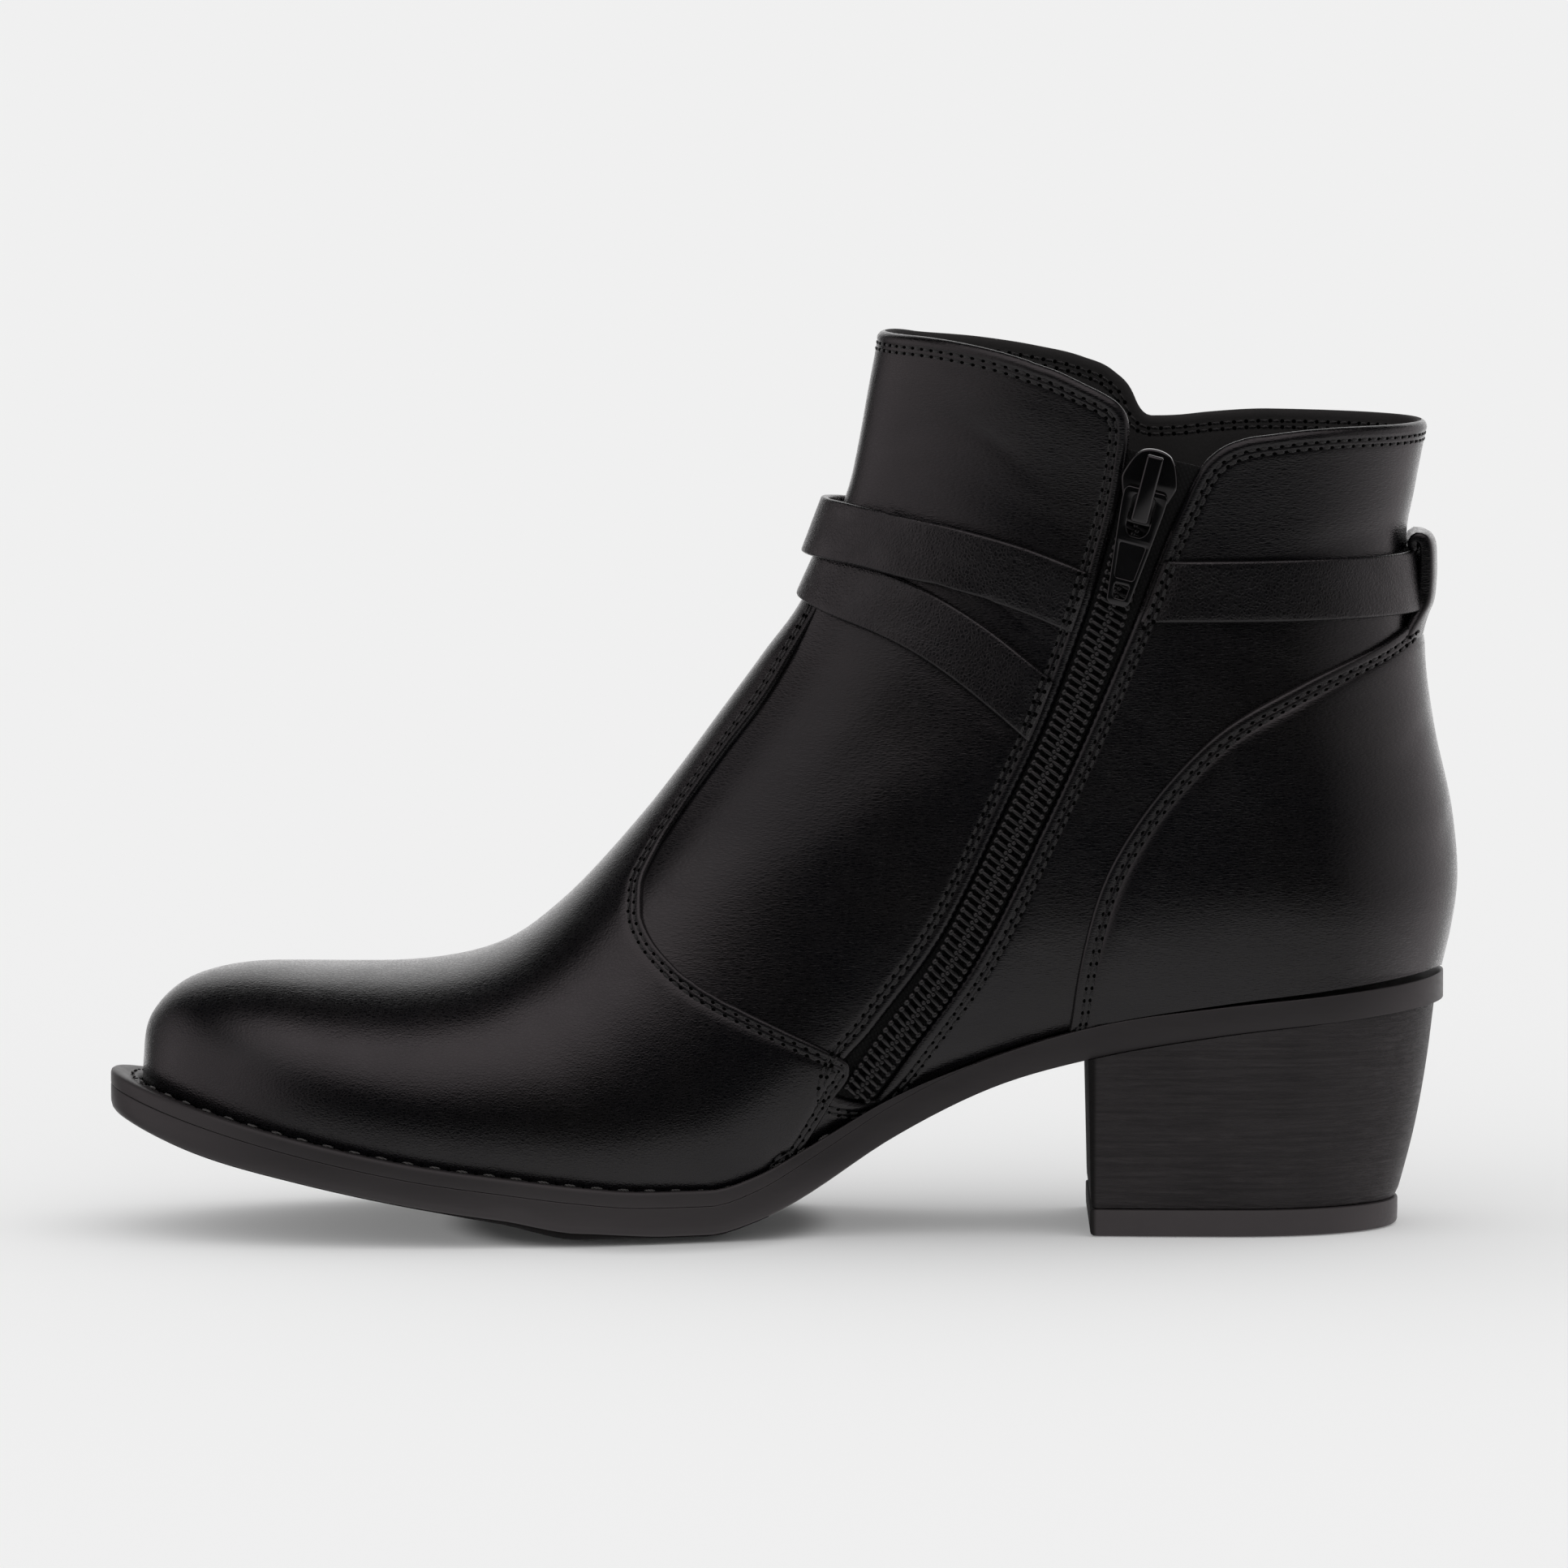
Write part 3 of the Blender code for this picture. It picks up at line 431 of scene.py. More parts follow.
def makeMatt(name, look):
    finish = Finish(name, Specular_IOR_Level=look["specular"])
    where = finish.place()
    cloud, nap = finish.noise(where, look["cloud"], 3.0), finish.noise(where, look["nap"], 2.0)
    finish.feed("Base Color", finish.blend(cloud, look["dark"], look["pale"]))
    finish.feed("Roughness", nap * look["uneven"] + look["rough"])
    finish.bump(nap + cloud * look["waves"], look["depth"])
    return finish.data


def makeSole():
    finish = Finish("soleRubber", Specular_IOR_Level=0.32)
    where = finish.place((0.35, 0.35, 1.4))
    cloud, streak = finish.noise(where, 120.0, 3.0), finish.noise(where, 900.0, 3.0, 0.6)
    cloudAndFloorGlow = cloud * 0.4 + finish.axis("Z").between(0.003, 0.018, 0.6, 0.0)  # random cloud, and paler low down: painted light standing in for the floor's bounce
    finish.feed("Base Color", finish.blend(cloudAndFloorGlow, (0.02, 0.0177, 0.0184), (0.044, 0.039, 0.0402)))
    finish.feed("Roughness", streak * 0.14 + 0.36)
    finish.bump(streak, 0.000018)
    return finish.data


def breastShadeShare(finish):
    # the heel's front face, duller, and painted darker as shade under the arch
    return finish.axis("X").between(0.0575, 0.0584, 1.0, 0.0)


def makeStack():
    finish = Finish("stackedHeel", Specular_IOR_Level=0.24)
    level, broken = finish.place((0.09, 0.09, 3.0)), finish.place((0.35, 0.35, 4.0))
    lines, flecks = finish.noise(level, 420.0, 4.0, 0.65), finish.noise(broken, 500.0, 4.0, 0.7)
    cloud = finish.noise(finish.place(), 45.0, 2.0)
    tone = lines.between(0.36, 0.64) * 0.45 + flecks.between(0.4, 0.6) * 0.3
    tone = tone + cloud.between(0.35, 0.65) * 0.25
    breast = breastShadeShare(finish)
    side = finish.blend(tone, (0.0115, 0.0102, 0.0108), (0.0285, 0.0254, 0.0262))
    # the breast's near-black colour is painted shade from the arch above
    finish.feed("Base Color", finish.blend(breast, side, (0.005, 0.0046, 0.0046)))
    finish.feed("Roughness", flecks * 0.16 + 0.38 + breast * 0.46)
    finish.bump(lines * 1.2 + flecks.between(0.42, 0.62), 0.00009)
    return finish.data


def makeLift():
    finish = Finish("liftRubber", Specular_IOR_Level=0.25)
    where = finish.place()
    nap = finish.noise(where, 1400.0, 3.0)
    breast = breastShadeShare(finish)
    side = finish.blend(finish.noise(where, 80.0), (0.044, 0.0388, 0.0402), (0.056, 0.0496, 0.0512))
    # the breast's dark colour is painted shade from the arch above
    finish.feed("Base Color", finish.blend(breast, side, (0.012, 0.011, 0.011)))
    finish.feed("Roughness", nap * 0.18 + 0.42 + breast * 0.4)
    finish.bump(nap, 0.00002)
    return finish.data


def makeTape():
    finish = Finish("zipTapeCloth", Specular_IOR_Level=0.2, Sheen_Weight=0.1)
    where = finish.place(turn=(0.0, math.radians(22), 0.0))  # level with the zip's lean
    warp, weft = finish.wave(where, 420.0, "X"), finish.wave(where, 380.0, "Z")
    finish.feed("Base Color", finish.blend(warp * weft, (0.002, 0.002, 0.002), (0.006, 0.006, 0.0062)))
    finish.feed("Roughness", weft * 0.1 + 0.8)
    finish.bump(warp * 0.6 + weft * 0.6, 0.00008)
    return finish.data


def makeCoil():
    finish = Finish("zipCoilPlastic", Specular_IOR_Level=0.5)
    nap = finish.noise(finish.place(), 900.0, 2.0)
    finish.feed("Base Color", finish.blend(nap, (0.004, 0.004, 0.0042), (0.008, 0.008, 0.008)))
    finish.feed("Roughness", nap * 0.12 + 0.26)
    finish.bump(nap, 0.00001)
    return finish.data


def makeMetal():
    finish = Finish("blackMetal", Specular_IOR_Level=0.55, Coat_Roughness=0.06)
    where = finish.place()
    cloud = finish.noise(where, 260.0, 2.0)
    finish.feed("Base Color", finish.blend(cloud, (0.0012, 0.0012, 0.0014), (0.0022, 0.0022, 0.0024)))
    finish.feed("Roughness", cloud * 0.05 + 0.07)
    finish.feed("Coat Weight", cloud.between(0.2, 0.8, 0.05, 0.2))
    finish.bump(finish.noise(where, 300.0, 1.0), 0.000006)
    return finish.data


def makeThread(name, dark, pale):
    finish = Finish(name, Specular_IOR_Level=0.4, Sheen_Weight=0.15)
    twist = finish.wave(finish.place(), 900.0, "DIAGONAL")
    finish.feed("Base Color", finish.blend(twist, dark, pale))
    finish.feed("Roughness", twist * 0.1 + 0.45)
    finish.bump(twist, 0.00004)
    return finish.data


# near-black flat discs: painted shade standing in for the hollow of each needle hole
def makeHole():
    finish = Finish("needleHoleShade", Specular_IOR_Level=0.0)
    shade = finish.noise(finish.place(), 800.0)
    finish.feed("Base Color", finish.blend(shade, (0.0008, 0.0008, 0.0008), (0.0016, 0.0016, 0.0016)))
    finish.feed("Roughness", shade * 0.05 + 0.92)
    return finish.data


lining, treadShadeRubber = makeMatt("liningLeather", liningLook), makeMatt("treadShadeRubber", treadShadeLook)
soleRubber, stackedHeel, liftRubber = makeSole(), makeStack(), makeLift()
tapeCloth, coilPlastic, blackMetal, needleHoleShade = makeTape(), makeCoil(), makeMetal(), makeHole()
thread = makeThread("sewingThread", (0.003, 0.003, 0.0032), (0.009, 0.0088, 0.0088))
weltThread = makeThread("weltThread", (0.02, 0.019, 0.0186), (0.07, 0.066, 0.064))
print("finishes ready")

# soft troughs (minus) and ridges in the leather: side, x, z, lean from level, half length, half width, height
creases = [
    (-1, 20.0, 81.0, 32, 26.0, 8.0, 0.7), (-1, 34.0, 65.0, 62, 22.0, 7.0, 0.7),
    (-1, 84.0, 62.0, 6, 24.0, 12.0, 1.5), (1, 84.0, 62.0, 6, 24.0, 12.0, 1.5),
    (-1, 38.0, 149.0, -35, 7.0, 1.3, -0.16), (-1, 31.0, 151.5, -24, 9.0, 1.6, -0.10),
    (-1, 44.0, 140.0, -28, 9.0, 2.2, 0.12), (-1, 30.0, 100.0, -30, 12.0, 3.0, 0.14),
    (-1, 24.0, 92.0, -34, 11.0, 2.5, -0.12), (-1, 12.0, 96.0, 52, 16.0, 3.6, 0.16),
    (-1, 47.0, 57.0, 62, 18.0, 3.2, 0.18), (-1, 52.0, 66.0, 66, 14.0, 2.4, -0.16),
    (-1, 40.0, 46.0, 38, 12.0, 2.6, -0.12), (-1, 96.0, 132.0, 8, 15.0, 3.2, 0.14),
    (-1, 104.0, 129.0, 14, 10.0, 2.0, -0.16), (-1, 89.0, 112.0, -20, 14.0, 3.4, 0.16),
    (-1, 122.5, 76.0, 76, 6.0, 0.9, -0.14), (-1, 117.0, 93.0, 60, 9.0, 2.0, -0.12),
    (-1, 74.0, 108.0, 58, 14.0, 3.0, -0.14), (-1, -30.0, 44.0, -46, 12.0, 4.0, 0.16),
    (-1, -44.0, 36.0, -40, 11.0, 4.0, -0.14), (-1, -14.0, 72.0, 54, 12.0, 3.4, -0.14),
    (1, 36.0, 146.0, -25, 12.0, 2.4, -0.14), (1, 30.0, 104.0, -34, 16.0, 3.4, -0.18),
    (1, 20.0, 94.0, -38, 14.0, 3.0, 0.16), (1, 52.0, 70.0, 40, 16.0, 3.4, -0.16),
    (1, 98.0, 132.0, 8, 14.0, 3.0, 0.14), (1, -28.0, 46.0, -44, 13.0, 4.2, 0.16),
    (1, 84.0, 110.0, -22, 15.0, 3.2, -0.16), (1, -42.0, 38.0, -40, 12.0, 4.0, -0.14),
]
creaseBow = 0.05  # how far a crease curves for its length


def creaseHeight(points):
    height = np.zeros(len(points))
    for side, x, z, lean, length, width, rise in creases:
        lean = math.radians(lean)
        right, up = points[:, 0] - x, points[:, 2] - z
        along = (right * math.cos(lean) + up * math.sin(lean)) / length
        across = (up * math.cos(lean) - right * math.sin(lean)) / width
        bow = across + creaseBow * along**2 * length / width
        near = np.sign(points[:, 1]) == side
        height += np.where(near, rise * np.exp(-along**2 - bow**2), 0.0)
    return height


class Edge:
    # a cut edge on the last; the leather lies to its left seen from outside
    def __init__(self, spots, step=0.8, ends=(None, None), ease=0):
        self.spots = np.array(spots, float)
        points = evenLine(lastAt(self.spots[:, 0], self.spots[:, 1]), step)
        for _ in range(ease):
            points[1:-1] = (points[:-2] + 2 * points[1:-1] + points[2:]) / 4
        self.spots = np.array([nearSpot(p) for p in points])
        for i, turn in zip((0, -1), ends):
            if turn is not None:
                self.spots[i, 1] = turn
        self.points = lastAt(self.spots[:, 0], self.spots[:, 1])
        self.normals = lastNormal(self.spots[:, 0], self.spots[:, 1])
        closed = np.linalg.norm(self.points[0] - self.points[-1]) < 0.01
        before, after = self.points[:1], self.points[-1:]
        if closed:
            before, after = self.points[-2:-1], self.points[1:2]
        padded = np.concatenate([before, self.points, after])
        self.ahead = unit(padded[2:] - padded[:-2])
        self.inward = unit(np.cross(self.normals, self.ahead))
        self.ends = ends
        dense = evenLine(self.points, 0.2)
        self.near = KDTree(len(dense))
        for i, point in enumerate(dense):
            self.near.insert(Vector(point), i)
        self.near.balance()

    def gap(self, points):
        return np.array([self.near.find(Vector(p))[2] for p in points])

    def row(self, depth):
        # spots at one distance in from the edge
        spots = np.array([nearSpot(p) for p in self.points + self.inward * depth])
        for i, turn in zip((0, -1), self.ends):
            if turn is not None:
                spots[i, 1] = turn
        return spots


def edgeGap(edges, points):
    return np.min([edge.gap(points) for edge in edges], axis=0)


# flat sheet that the leather is cut from: its scale along the rows, and the two parts of its width
sheet = {"row": 25.0, "open": 70.0, "wide": 30.0}


def flatSpot(row, turn):
    # a spot on the sheet, opened out along the front line where the turns lie close
    side = turn - 1
    across = sheet["open"] * math.sqrt(abs(side)) + sheet["wide"] * abs(side)
    return Vector((row * sheet["row"], math.copysign(across, side)))


def sheetSpot(point):
    reach = math.sqrt(sheet["open"] ** 2 + 4 * sheet["wide"] * abs(point.y))
    root = (reach - sheet["open"]) / (2 * sheet["wide"])
    return point.x / sheet["row"], 1 + math.copysign(root * root, point.y)


def sheetNet(spots, ties, count):
    # triangles between spots, inside the outline that the first ones make
    flat = [flatSpot(r, t) for r, t in spots]
    points, _, faces, origins, _, _ = delaunay_2d_cdt(flat, ties, [list(range(count))], 1, 1e-5)
    row, turn = np.array([sheetSpot(p) for p in points]).T
    return row, turn, [tuple(f) for f in faces], origins


panelNet = {"slack": 0.12, "clear": 0.5, "crestTurn": 2e-4, "creaseFrom": 2.0, "creaseFull": 6.0}


def panelMesh(patch, outline, edges, profile, rows, turns, lift=None, crest=()):
    # leather panel in one net: rows that follow its cut edges, and the last's own grid between them
    depths, heights = zip(*profile)
    reach = depths[-1] + panelNet["clear"]
    spots, known, ties = [tuple(s) for s, _ in outline], [d for _, d in outline], []
    for edge in edges:
        for depth in depths[1:]:
            found = edge.row(depth)
            before = False
            for spot, gap in zip(found, edgeGap(edges, lastAt(*found.T))):
                onCrest = len(crest) and abs(spot[1] - 1) < panelNet["crestTurn"]
                kept = gap > depth - panelNet["slack"] and not onCrest
                if kept:
                    spots.append(tuple(spot))
                    known.append(depth)
                    if before:
                        ties.append((len(spots) - 2, len(spots) - 1))
                before = kept
    # where two edges come close, the front line is kept whole
    loose = [(row, 1.0) for row in crest if edgeGap(edges, lastAt(row, 1.0).reshape(1, 3))[0] <= reach]
    grid = np.array([(r, t) for r in rows for t in turns])
    loose += [tuple(s) for s in grid[edgeGap(edges, lastAt(*grid.T)) > reach]]
    known += [None] * len(loose)
    row, turn, faces, origins = sheetNet(spots + loose, ties, len(outline))
    places = lastAt(row, turn)
    given = [known[origin[0]] if len(origin) else None for origin in origins]
    unknown = [i for i, depth in enumerate(given) if depth is None]
    depth = np.array([0.0 if depth is None else depth for depth in given])
    depth[unknown] = edgeGap(edges, places[unknown])
    height = smoothCurve(depths, heights)(depth)
    if lift is not None:
        height = height * lift(places)
    low, high = panelNet["creaseFrom"], panelNet["creaseFull"]
    height = height + creaseHeight(places) * np.clip((depth - low) / (high - low), 0, 1)
    patch.add(places + lastNormal(row, turn) * height[:, None], faces)


def lineSpots(rows, turn, first, final):
    # outline spots on the sole line or the back line between two rows
    low, high = min(first, final), max(first, final)
    inside = [r for r in rows if low + 0.02 < r < high - 0.02]
    return [((r, turn), None) for r in (inside if final > first else inside[::-1])]


def cutSpots(edge):
    return [(tuple(s), 0.0) for s in edge.spots]


def footOutline(rows, turns, cut):
    # once round a panel: from its first section along the inner side, its cut edge and the outer side
    start, first, final = rows[0], cut[0][0][0], cut[-1][0][0]
    outline = [((start, 0.0), None), *lineSpots(rows, 0.0, start, first), *cut]
    return outline + lineSpots(rows, 2.0, final, start) + [((start, t), None) for t in turns[:0:-1]]


rim = {
    "profile": [  # depth from the edge, height
        (0.0, -1.12), (0.06, -0.84), (0.2, -0.54), (0.45, -0.26), (0.8, -0.02), (1.2, 0.12), (1.65, 0.12),
        (2.05, -0.01), (2.35, -0.14), (2.6, -0.02), (2.9, 0.04), (3.2, -0.02), (3.5, -0.14), (3.75, -0.03),
        (4.15, 0.02), (4.8, 0.0),
    ],
    "inside": [
        (0.06, -1.42), (0.25, -1.72), (0.7, -1.95), (1.5, -2.02), (2.35, -1.9), (2.9, -2.02), (3.5, -1.9),
        (4.2, -2.0), (6.0, -2.0),
    ],
    "collarIn": [
        (0, 168.0), (18, 167.8), (30, 167.0), (42, 164.6), (53.4, 160.6), (60, 157.6), (80, 150.2),
        (92, 150.4), (106, 151.0), (122, 150.8), (140, 150.8),
    ],
    "collarOut": [
        (0, 168.0), (18, 167.6), (25, 166.4), (36, 164.9), (47.4, 162.8), (56, 160.6), (62, 157.8),
        (65.4, 154.2), (66.8, 151.2), (69.4, 149.4), (74, 149.5), (80, 150.1), (92, 150.8), (122, 150.8),
        (140, 150.8),
    ],
    "slot": [  # side view of the zip opening, from the rear collar round to the front collar
        (104, 151.0), (97, 150.7), (91, 150.1), (85.7, 149.4), (81.2, 147.7), (78.0, 145.0), (75.8, 141.6),
        (73.8, 137.4), (71.9, 133.6), (68.6, 125.5), (65.2, 116.6), (61.4, 107.5), (55.3, 93.4),
        (48.3, 78.2), (34.3, 50.3), (23.4, 34.3), (18.5, 27.1), (17.2, 25.4), (15.2, 25.2), (11.0, 26.2),
        (9.3, 27.2), (9.4, 28.8), (16.7, 39.1), (27.8, 54.0), (41.7, 81.6), (48.6, 96.4), (54.0, 110.6),
        (57.1, 119.5), (59.7, 128.5), (61.8, 136.3), (63.3, 144.8), (63.9, 149.8), (63.6, 153.3),
        (61.8, 156.0), (59.2, 157.7), (55.5, 159.5), (50.0, 162.0), (46.0, 163.3),
    ],
    "axisX": 68.0, "guessZ": 156.0, "blendY": 14.0, "rearPoints": 30, "frontPoints": 150,
    "stitches": (2.35, 3.5), "pitch": 2.3, "sewn": (2, 200.0),  # rows of stitches, and how far up they go
}


def makeRimEdge():
    collarIn, = tableCurves(rim["collarIn"], True)
    collarOut, = tableCurves(rim["collarOut"], True)

    def collar(angles):
        spots = []
        for angle in angles:
            z = rim["guessZ"]
            for _ in range(9):
                spot = ringSpot(rim["axisX"], angle, z)
                x, y, _ = lastAt(*spot)
                share = min(max((y + rim["blendY"]) / (2 * rim["blendY"]), 0.0), 1.0)
                z = float(collarIn(x) * (1 - share) + collarOut(x) * share)
            spots.append(spot)
        return spots

    slot = [sideSpot(x, z, -1) for x, z in evenLine(rim["slot"], 1.0)]
    turns = []
    for spot in (slot[0], slot[-1]):
        x, y, _ = lastAt(*spot)
        turns.append(math.atan2(y, x - rim["axisX"]))
    rear = collar(np.linspace(-1e-4, turns[0], rim["rearPoints"])[:-1])
    front = collar(np.linspace(turns[1], -2 * math.pi + 1e-4, rim["frontPoints"])[1:])
    return Edge(rear + slot + front, ends=(0.0, 2.0))


rimEdge = makeRimEdge()
print("rim edge:", len(rimEdge.spots), "points")

quarter = {
    "startRow": 6.7, "foot": 92, "shaft": 64, "around": 46,
    "solePoints": 200, "tucked": (2.5, 0.2), "bend": (0.6, 0.35),  # lasting edge: how far in, and up or down
}


def makeUpper():
    rows, turns = gridSteps(quarter)
    rows = rows[rows >= quarter["startRow"]]
    patch = Patch()
    panelMesh(patch, footOutline(rows, turns, cutSpots(rimEdge)), [rimEdge], rim["profile"], rows, turns)
    # the edge is turned over to the inside, where the lining takes over
    grid = [rimEdge.points + rimEdge.normals * rim["profile"][0][1]]
    for depth, height in rim["inside"]:
        spots = rimEdge.row(depth).T
        grid.append(lastAt(*spots) + lastNormal(*spots) * height)
    patch.addGrid(np.array(grid), 1)
    # lasting edge, tucked in under the foot
    sole = easeSteps(quarter["solePoints"]) * last["heelRow"]
    (deep, rise), (short, drop) = quarter["tucked"], quarter["bend"]
    for turn in (0.0, 2.0):
        edge, out = lastAt(sole, turn), lastNormal(sole, turn)
        out[:, 2] = 0
        out = unit(out)
        tucked = edge - out * deep
        tucked[:, 2] = shelfAt(tucked[:, 0]) + rise
        fold = np.array([tucked, edge - out * short - (0, 0, drop), edge])
        patch.addGrid(fold if turn == 0.0 else fold[::-1])
    return dress(patch.build("upperLeather", [quarterLeather, lining]), ["upper"])


liningSkin = {
    "foot": 60, "shaft": 40, "around": 30, "startRow": 0.5, "border": 4.6, "clear": 5.2, "depth": 2.05,
}


def makeLiningSkin():
    rows, turns = gridSteps(liningSkin)
    rows = rows[rows >= liningSkin["startRow"]]
    border = rimEdge.row(liningSkin["border"])[::3]
    outline = footOutline(rows, turns, [(tuple(s), None) for s in border])
    grid = np.array([(r, t) for r in rows for t in turns])
    inside = grid[rimEdge.gap(lastAt(*grid.T)) > liningSkin["clear"]]
    spots = [s for s, _ in outline] + [tuple(s) for s in inside]
    row, turn, faces, _ = sheetNet(spots, [], len(outline))
    patch = Patch()
    patch.add(lastAt(row, turn) - lastNormal(row, turn) * liningSkin["depth"], [f[::-1] for f in faces])
    return dress(patch.build("upperLining", [lining]))


upper = makeUpper()
makeLiningSkin()
print("upper:", len(upper.data.polygons), "faces")

vamp = {
    "edge": [
        (9.6, 124.5), (5.0, 114.0), (-3.3, 99.4), (-10.8, 89.5), (-18.8, 78.5), (-23.6, 71.0), (-26.2, 64.8),
        (-26.3, 60.6), (-24.8, 56.4), (-21.4, 52.2), (-17.0, 48.6), (-5.1, 42.0), (8.6, 35.3), (11.4, 33.7),
        (12.2, 32.8), (12.2, 31.8), (9.1, 26.5), (-2.5, 8.0), (-8.0, 0.0),
    ],
    "profile": [
        (0.0, -0.25), (0.04, 0.34), (0.14, 0.7), (0.34, 0.96), (0.65, 1.07), (1.0, 1.04), (1.2, 0.97),
        (1.4, 0.88), (1.6, 0.98), (1.95, 1.07), (2.3, 0.99), (2.5, 0.9), (2.7, 1.0), (3.2, 1.16), (4.4, 1.25),
    ],
    "topZ": 121.0, "topSink": 0.4, "topPoints": 22, "axisX": 62.0,
    "skive": (106.0, 118.0, 0.2),  # thinned between two heights under the straps, to this share
    "crestRow": 8.0, "crestStep": 0.05, "endRow": 11.5, "foot": 150, "shaft": 40, "around": 50,
    "stitches": (1.4, 2.5), "pitch": 2.4, "sewn": (2, 117.0),
}


def sideEdge(table, side):
    # side-view line on one side of the last, from its top down to the sole line
    spots = [sideSpot(x, z, side) for x, z in evenLine(table, 0.8) if z > shelfAt(x) + last["rise"]]
    return spots + [(2 * spots[-1][0] - spots[-2][0], 1.0 + side)]


def makeVamp():
    line = [(x, z) for x, z in evenLine(vamp["edge"], 0.5) if z < vamp["topZ"]]
    inner = Edge(sideEdge(line, -1)[::-1], ends=(0.0, None))
    outer = Edge(sideEdge(line, 1), ends=(None, 2.0))
    rows, turns = gridSteps(vamp)
    first, final = inner.points[-1], outer.points[0]
    over = []
    for share in np.linspace(0, 1, vamp["topPoints"])[1:-1]:
        x, y, _ = first + (final - first) * share
        angle = math.atan2(y, x - vamp["axisX"])
        over.append((ringSpot(vamp["axisX"], angle, vamp["topZ"] - vamp["topSink"]), None))
    outline = footOutline(rows, turns, cutSpots(inner) + over + cutSpots(outer))
    low, high, least = vamp["skive"]

    def thin(points):
        return 1 - (1 - least) * ramp(points[:, 2], low, high)

    top = nearSpot(lastAt(*over[len(over) // 2][0]))[0]
    crest = np.arange(vamp["crestRow"], top - 0.01, vamp["crestStep"])
    edges, rows = [inner, outer], rows[rows < vamp["endRow"]]
    patch = Patch()
    panelMesh(patch, outline, edges, vamp["profile"], rows, turns, lift=thin, crest=crest)
    return dress(patch.build("vampLeather", [vampLeather]), ["vamp"]), edges


vampPiece, vampEdges = makeVamp()
print("vamp:", len(vampPiece.data.polygons), "faces")

counter = {
    "edge": [
        (135, 115.2), (121, 115.0), (110.5, 110.2), (95.5, 103.5), (80.4, 94.8), (72.9, 87.6), (65.4, 78.2),
        (59.0, 66.7), (56.2, 57.5), (54.2, 47.6), (52.4, 30.0),
    ],
    "profile": [
        (0.0, -0.25), (0.04, 0.4), (0.14, 0.82), (0.34, 1.12), (0.7, 1.28), (1.3, 1.28), (1.7, 1.2),
        (1.95, 1.08), (2.2, 1.2), (2.5, 1.28), (2.8, 1.2), (3.05, 1.1), (3.3, 1.26), (3.9, 1.48),
        (5.0, 1.6),
    ],
    "axisX": 80.0, "guessZ": 112.0, "backAngle": 0.75, "backPoints": 14, "backKnots": 6, "ease": 14,
    "startRow": 10.5, "foot": 110, "shaft": 70, "around": 50,
    "stitches": (1.95, 3.05), "pitch": 2.4, "sewn": (0, 117.0),
}


def makeCounter():
    rows, turns = gridSteps(counter)
    rows = rows[rows > counter["startRow"]]
    line, = tableCurves(sorted(counter["edge"][:counter["backKnots"]]), True)
    angles = np.linspace(0, counter["backAngle"], counter["backPoints"])[:-1] + 1e-4
    edges = []
    for side in (-1, 1):
        spots = []
        for angle in angles:  # round the back by angle
            z = counter["guessZ"]
            for _ in range(8):
                spot = ringSpot(counter["axisX"], angle * side, z)
                z = float(line(lastAt(*spot)[0]))
            spots.append(spot)
        bound = lastAt(*spots[-1])[0] - 1.0
        spots += sideEdge([p for p in evenLine(counter["edge"], 0.5) if p[0] < bound], side)
        edges.append(Edge(spots[::-side], ends=(1.0 + side,) * 2, ease=counter["ease"]))
    patch = Patch()
    for side, edge in zip((-1, 1), edges):
        outline = cutSpots(edge) + lineSpots(rows, 1.0 + side, edge.spots[-1, 0], edge.spots[0, 0])
        panelMesh(patch, outline, edges, counter["profile"], rows, turns[(turns - 1) * side >= 0])
    piece = patch.build("counterLeather", [quarterLeather], merge=2e-5)
    return dress(piece, ["counter"]), edges


counterPiece, counterEdges = makeCounter()
print("counter:", len(counterPiece.data.polygons), "faces")

straps = {
    "axisX": 62.0, "width": 11.5, "thick": 1.4, "toSlot": 1.5, "step": 1.2, "points": 240,
    "taper": 6.0, "roundEnd": 0.96, "clear": 9.0,
    "wrap": [  # angle round the shaft from the front, z, lift
        (70, 95.4, 0.3), (56, 102.2, 0.3), (30, 114.8, 0.35), (12, 120.7, 0.4), (0, 122.8, 0.4),
        (-20, 124.0, 0.35), (-45, 123.2, 0.3), (-75, 121.4, 0.3), (-115, 121.0, 0.3), (-150, 121.0, 0.9),
        (-180, 121.0, 1.2), (-210, 121.0, 0.9), (-262, 121.0, 0.3),
    ],
    "cross": [
        (79, 118.2, 0.3), (64, 121.4, 0.3), (50, 124.2, 1.2), (33, 127.0, 2.1), (15, 129.3, 2.7),
        (0, 129.9, 2.9), (-20, 128.0, 2.4), (-40, 122.0, 2.0), (-60, 113.2, 2.0), (-74, 106.4, 2.0),
        (-92, 98.4, 0.3),
    ],
    "ring": [  # share of the half width, share of the thickness
        (-1.0, 0.25), (-1.0, 0.6), (-0.985, 0.82), (-0.955, 0.95), (-0.9, 1.0), (-0.7, 1.02), (-0.35, 1.03),
        (0.0, 1.03), (0.35, 1.03), (0.7, 1.02), (0.9, 1.0), (0.955, 0.95), (0.985, 0.82), (1.0, 0.6),
        (1.0, 0.25), (0.985, 0.06), (0.94, 0.0), (0.5, 0.0), (0.0, 0.0), (-0.5, 0.0), (-0.94, 0.0),
        (-0.985, 0.06),
    ],
}
slotSides = {  # the slot's two long edges, and the way from each into the leather
    "front": (sorted((z, x) for x, z in rim["slot"][21:34]), -1),
    "rear": (sorted((z, x) for x, z in rim["slot"][4:17]), 1),
}


